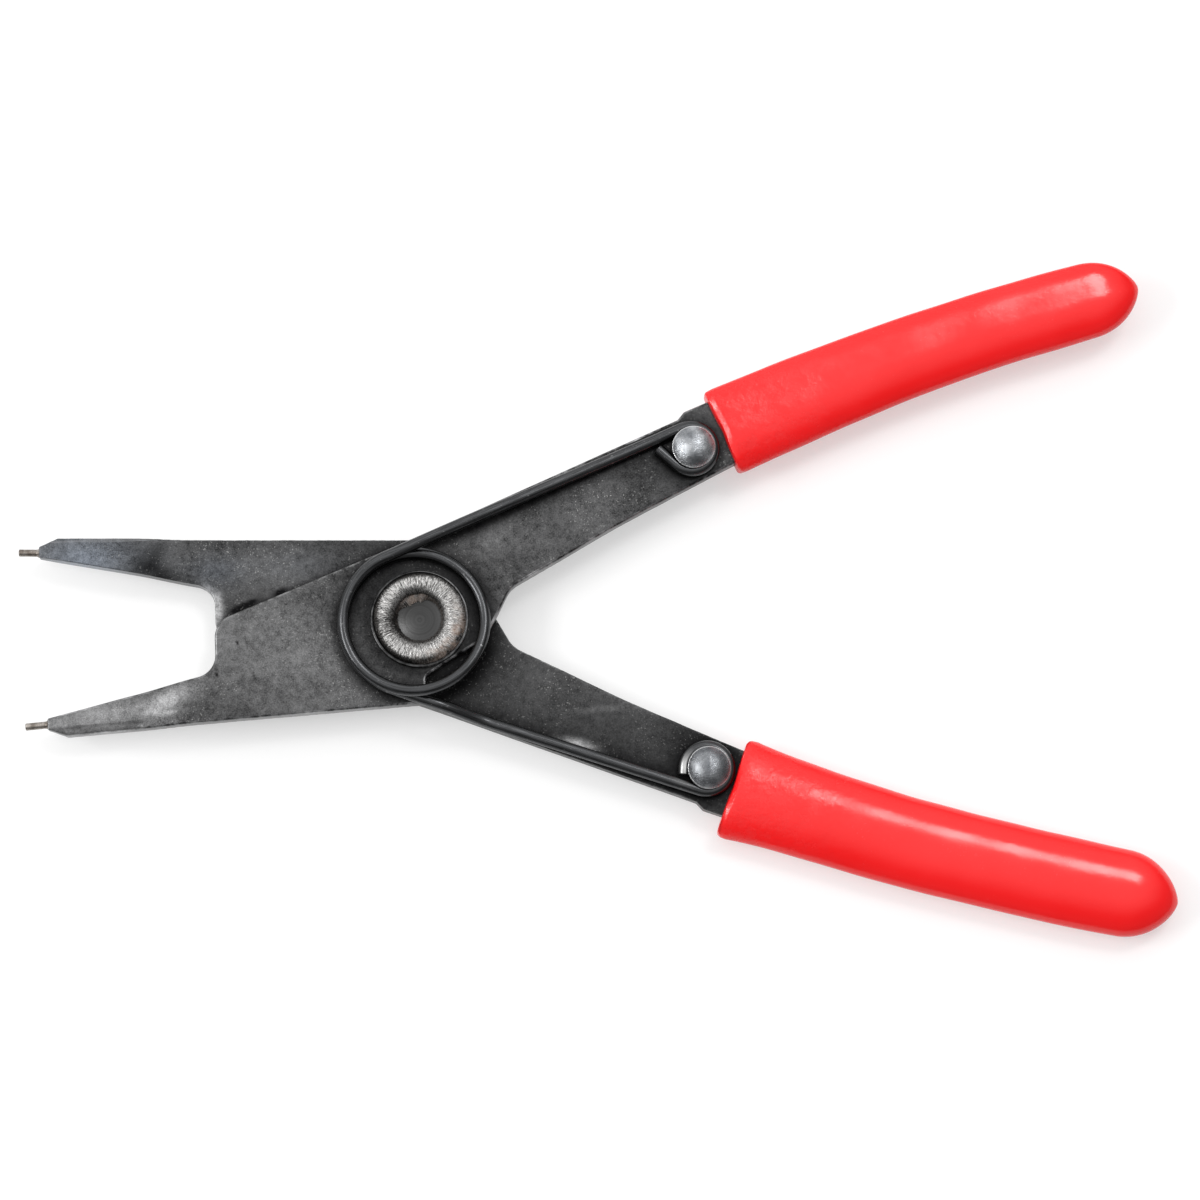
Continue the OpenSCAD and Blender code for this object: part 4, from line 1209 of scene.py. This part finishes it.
def lip_line(share):
    """Way along and rise of the mouth's lip, each from 0 to 1: a steep round, a slope, then level."""
    stops = np.array([[0, 0], [0.03, 0.45], [0.08, 0.65], [0.14, 0.735], [0.64, 0.975], [1, 1]])
    spread = np.linspace(-0.04, 0.04, 5)
    knots = np.linspace(0, 1, len(stops))
    return [np.mean([np.interp(share + d, knots, column) for d in spread], 0) for column in stops.T]


def grip_profile(wall, fuller, lead, lip):
    """For the rings [pocket, lip, body, end]: way along, half width, half thickness, how far the section is
    rounded and how far it has come to its end. Towards the end the half width falls as (1 - u squared) to
    the power 0.66, u from 0 to 1. At the mouth the sides reach full width at once and the faces roll over
    the lip. Also gives the number of rings in the pocket and half the mouth's width."""
    length = TANG_LEN + GRIP_END
    inner_s = np.concatenate([[TANG_LEN + FIT] * 2, np.linspace(TANG_LEN, -lead, 40)])
    inner_w, inner_t = tang_half(inner_s) + FIT, np.full(len(inner_s), PLATE_T / 2 + FIT)
    inner_w[0] = inner_t[0] = POCKET_END
    q = np.radians(np.linspace(0, 90, 24))[1:]
    lip_way, lip_rise = lip_line(q / q[-1])
    lip_s = -lead + lip * lip_way
    full = along_profile(lip_s, fuller) + wall
    lip_w, lip_t = tang_half(lip_s) + full * np.sin(q) ** 0.35, PLATE_T / 2 + wall * lip_rise
    body_s = np.linspace(lip - lead, length - END_LEN, 90)[1:]
    u = np.sin(np.radians(np.linspace(0, 89.3, 34)))[1:]
    end_s = length - END_LEN + END_LEN * u
    fade = (1 - u**2) ** 0.66
    body_w, end_w = (
        tang_half(s.clip(0, TANG_LEN)) + along_profile(s, fuller) + wall for s in (body_s, end_s))
    body_t = np.full(len(body_s), PLATE_T / 2 + wall)
    end_t = (PLATE_T / 2 + wall) * (1 - u**2.6) ** 0.6
    columns = [
        [inner_s, lip_s, body_s, end_s],
        [inner_w, lip_w, body_w, end_w * fade],
        [inner_t, lip_t, body_t, end_t],
        [0 * inner_s, smooth(np.sin(q)), 0 * body_s + 1, 0 * end_s + 1],
        [0 * inner_s, 0 * q, 0 * body_s, smooth(1 - fade)],
    ]
    return [np.concatenate(column)[:, None] for column in columns], len(inner_s), full[0] + tang_half(0)


# %% Two grips
GRIP_SIDES = 112
POCKET_SQUARE, END_SQUARE = 9.0, 2.2
UNEVEN, UNEVEN_WAVE = 0.05, 18.0
BOW_LEN = 3.0
SCUFF_AT, SCUFF_LEN = 12.0, np.sqrt(260.0)


def vinyl_grip(name, node, body, turn_over, wall, fuller, shift, lead, bow, square, lip, corners, seed):
    """Sections carried along the handle's arc, a little uneven. The mouth bows back in its middle, and its
    two corners step back along quarter circles of their own radii. The section's power, square, differs on
    its two sides, so one side is boxy and the other is round."""
    (s, half_w, half_t, rounding, ending), pocket, mouth_half = grip_profile(wall, fuller, lead, lip)
    angle = round_angles(GRIP_SIDES)[None]
    squares = POCKET_SQUARE + (np.where(np.cos(angle) > 0, *square) - POCKET_SQUARE) * rounding
    squares = squares + (END_SQUARE - squares) * ending
    rho = section(half_w, half_t, squares, angle)
    order = np.arange(len(s)) - pocket
    outside = smooth(order / 14)[:, None] * np.clip(half_t / 3, 0, 1)
    rho = rho + outside * UNEVEN * ripple(s, 5 * np.sin(angle) + 3 * np.cos(angle), seed, UNEVEN_WAVE)
    side, up = rho * np.cos(angle), rho * np.sin(angle)
    offset = along_profile(s, shift) * smooth((order + 6) / 12)[:, None]
    bowed = bow * np.cos(angle) ** 2 * bell(s + lead, BOW_LEN)
    radius = np.where(side > 0, *corners)
    past = np.clip((np.abs(side) - mouth_half + radius) / radius, 0, 1)
    step_back = radius * (1 - np.sqrt(1 - past**2)) * np.clip(1 - (s + lead) / (2 * radius), 0, 1)
    plan = handle_at(s - bowed + step_back, side + offset)
    rings = np.concatenate([plan, (up + (PLATE_T + PLAY) / 2)[..., None]], -1)
    points, faces, lay = skin(rings)
    scuff = bell(lay[:, 2] - TANG_LEN - lead - SCUFF_AT, SCUFF_LEN)
    points = points * ([1, -1, -1] if turn_over else [1, 1, 1]) + [0, 0, PARTING]
    add_piece(name, points, faces, node, body, "red_vinyl", RED_VINYL, scuff=scuff)


vinyl_grip(
    "front_sleeve", "front_grip", "front_lever", turn_over=False, wall=1.9, lead=0.0, bow=0.25,
    fuller=[(-2, 0.0), (12, -0.05), (32, -0.2), (46, -0.18), (58, -0.05), (66, 0.0)],
    shift=[(-2, -0.05), (8, 0.0), (24, 0.2), (40, 0.32), (52, 0.25), (66, 0.0)],
    square=(4.6, 2.0), lip=1.8, corners=(0.6, 1.1), seed=51)
vinyl_grip(
    "back_sleeve", "back_grip", "back_lever", turn_over=True, wall=2.6, lead=1.05, bow=0.22,
    fuller=[(-2, 0.55), (0, 0.35), (5, 0.0), (12, -0.2), (28, -0.2), (44, 0.0), (60, 0.16), (68, 0.2)],
    shift=[(-2, 0.6), (4, 0.45), (16, 0.6), (32, 0.7), (50, 0.55), (66, 0.5)],
    square=(2.0, 2.2), lip=1.4, corners=(1.3, 1.6), seed=61)

# %% [markdown]
# ## Floor, light and camera
# The pliers lie on a pale floor. A long softbox at the left draws the bright lines on wire, rivets and grips,
# a small window at the upper right adds the second glint on the domes, and the rest is a dome that is bright
# behind and above and dim in front. One even dome alone would leave the black steel flat. The camera stands
# almost straight above, a little to the handles' near side, with a long lens.

# %% Pale floor
FLOOR_HALF = 5.0
FLOOR_GAP = 0.00015
PAPER, SEEN_PAPER, SEEN_GLOW = 0.92, 0.56, 0.45


def pale_floor():
    """Square sheet just under the pliers' lowest face. The eye, metal and glass see it as white paper that
    still takes a soft shadow; other rays meet plain paper, so it throws back no more light than that."""
    z = cad_low[2] - FLOOR_GAP
    corners = [(-FLOOR_HALF, -FLOOR_HALF, z), (FLOOR_HALF, -FLOOR_HALF, z),
               (FLOOR_HALF, FLOOR_HALF, z), (-FLOOR_HALF, FLOOR_HALF, z)]
    mesh = bpy.data.meshes.new("floor")
    mesh.from_pydata(corners, [], [(0, 1, 2, 3)])
    paper = Finish("white_paper", Base_Color=(PAPER, PAPER, PAPER, 1), Roughness=0.9, Specular_IOR_Level=0.0)
    path = paper.add("LightPath").outputs
    seen = paper.math("MAXIMUM", path["Is Camera Ray"], path["Is Glossy Ray"])
    seen = paper.math("MAXIMUM", seen, path["Is Transmission Ray"])
    matt = paper.add("BsdfDiffuse", {"Color": (SEEN_PAPER, SEEN_PAPER, SEEN_PAPER, 1)}).outputs[0]
    glow = paper.add("Emission", {"Color": (1, 1, 1, 1), "Strength": SEEN_GLOW}).outputs[0]
    white = paper.add("AddShader", {0: matt, 1: glow}).outputs[0]
    both = paper.add("MixShader", {0: seen, 1: paper.shader.outputs[0], 2: white}).outputs[0]
    paper.tree.links.new(both, paper.tree.nodes["Material Output"].inputs["Surface"])
    mesh.materials.append(paper.done())
    into_scene("floor", mesh)


pale_floor()


# %% Soft lights
def look_matrix(direction, roll):
    """Turn that points -Z along a direction, with +X level, then rolled about the view."""
    d = unit(np.array(direction, float))
    right = unit(np.cross(d, [0, 0, 1]))
    up = np.cross(right, d)
    c, s = np.cos(roll), np.sin(roll)
    return Matrix(np.stack([c * right + s * up, -s * right + c * up, -d], 1).tolist())


def softbox(name, place, target, wide, high, watts):
    """Rectangular area light at a place, facing a target."""
    data = bpy.data.lights.new(name, "AREA")
    data.shape = "RECTANGLE"
    data.size, data.size_y, data.energy = wide, high, watts
    lamp = into_scene(name, data)
    lamp.location = place
    lamp.rotation_mode = "QUATERNION"
    lamp.rotation_quaternion = look_matrix(np.array(target) - place, 0).to_quaternion()


def graded_dome(bright_way, dim, bright):
    """World whose strength grows with the cosine between a direction and bright_way."""
    world = bpy.data.worlds.new("studio")
    bpy.context.scene.world = world
    world.use_nodes = True
    nodes, links = world.node_tree.nodes, world.node_tree.links
    way = nodes.new("ShaderNodeTexCoord").outputs["Generated"]
    dot = nodes.new("ShaderNodeVectorMath")
    dot.operation = "DOT_PRODUCT"
    dot.inputs[1].default_value = unit(np.array(bright_way))
    grade = nodes.new("ShaderNodeMapRange")
    grade.interpolation_type = "SMOOTHSTEP"
    for label, value in (("From Min", 0.25), ("From Max", 0.9), ("To Min", dim), ("To Max", bright)):
        grade.inputs[label].default_value = value
    links.new(way, dot.inputs[0])
    links.new(dot.outputs["Value"], grade.inputs["Value"])
    nodes["Background"].inputs["Color"].default_value = (1, 1, 1, 1)
    links.new(grade.outputs["Result"], nodes["Background"].inputs["Strength"])


softbox("left", (-0.78, 0.0, 0.8), target=(0.03, 0, 0), wide=0.5, high=0.22, watts=4.2)
softbox("window", (0.38, 0.40, 1.0), target=(0.08, 0, 0), wide=0.24, high=0.24, watts=2.1)
graded_dome((-0.2, 0.5, 0.8), dim=0.22, bright=1.3)

# %% Camera at the photograph's angle
CAMERA_AT = np.array([14.697, -131.253, 743.583]) * MM
CAMERA_AZIMUTH, CAMERA_ELEVATION, CAMERA_ROLL = np.radians([-7.006, 79.644, 4.431])
SENSOR = 36.0
FOCAL_PIXELS, FRAME_PIXELS = 4350.0, 1200.0

lens = bpy.data.cameras.new("camera")
lens.sensor_width = SENSOR
lens.lens = SENSOR * FOCAL_PIXELS / FRAME_PIXELS
camera = into_scene("camera", lens)
level = np.cos(CAMERA_ELEVATION)
gaze = [-np.sin(CAMERA_AZIMUTH) * level, np.cos(CAMERA_AZIMUTH) * level, -np.sin(CAMERA_ELEVATION)]
camera.location = CAMERA_AT
camera.rotation_mode = "QUATERNION"
camera.rotation_quaternion = look_matrix(gaze, CAMERA_ROLL).to_quaternion()
bpy.context.scene.camera = camera
bpy.context.scene.view_settings.view_transform = "Standard"
print("camera lens", lens.lens, "mm")
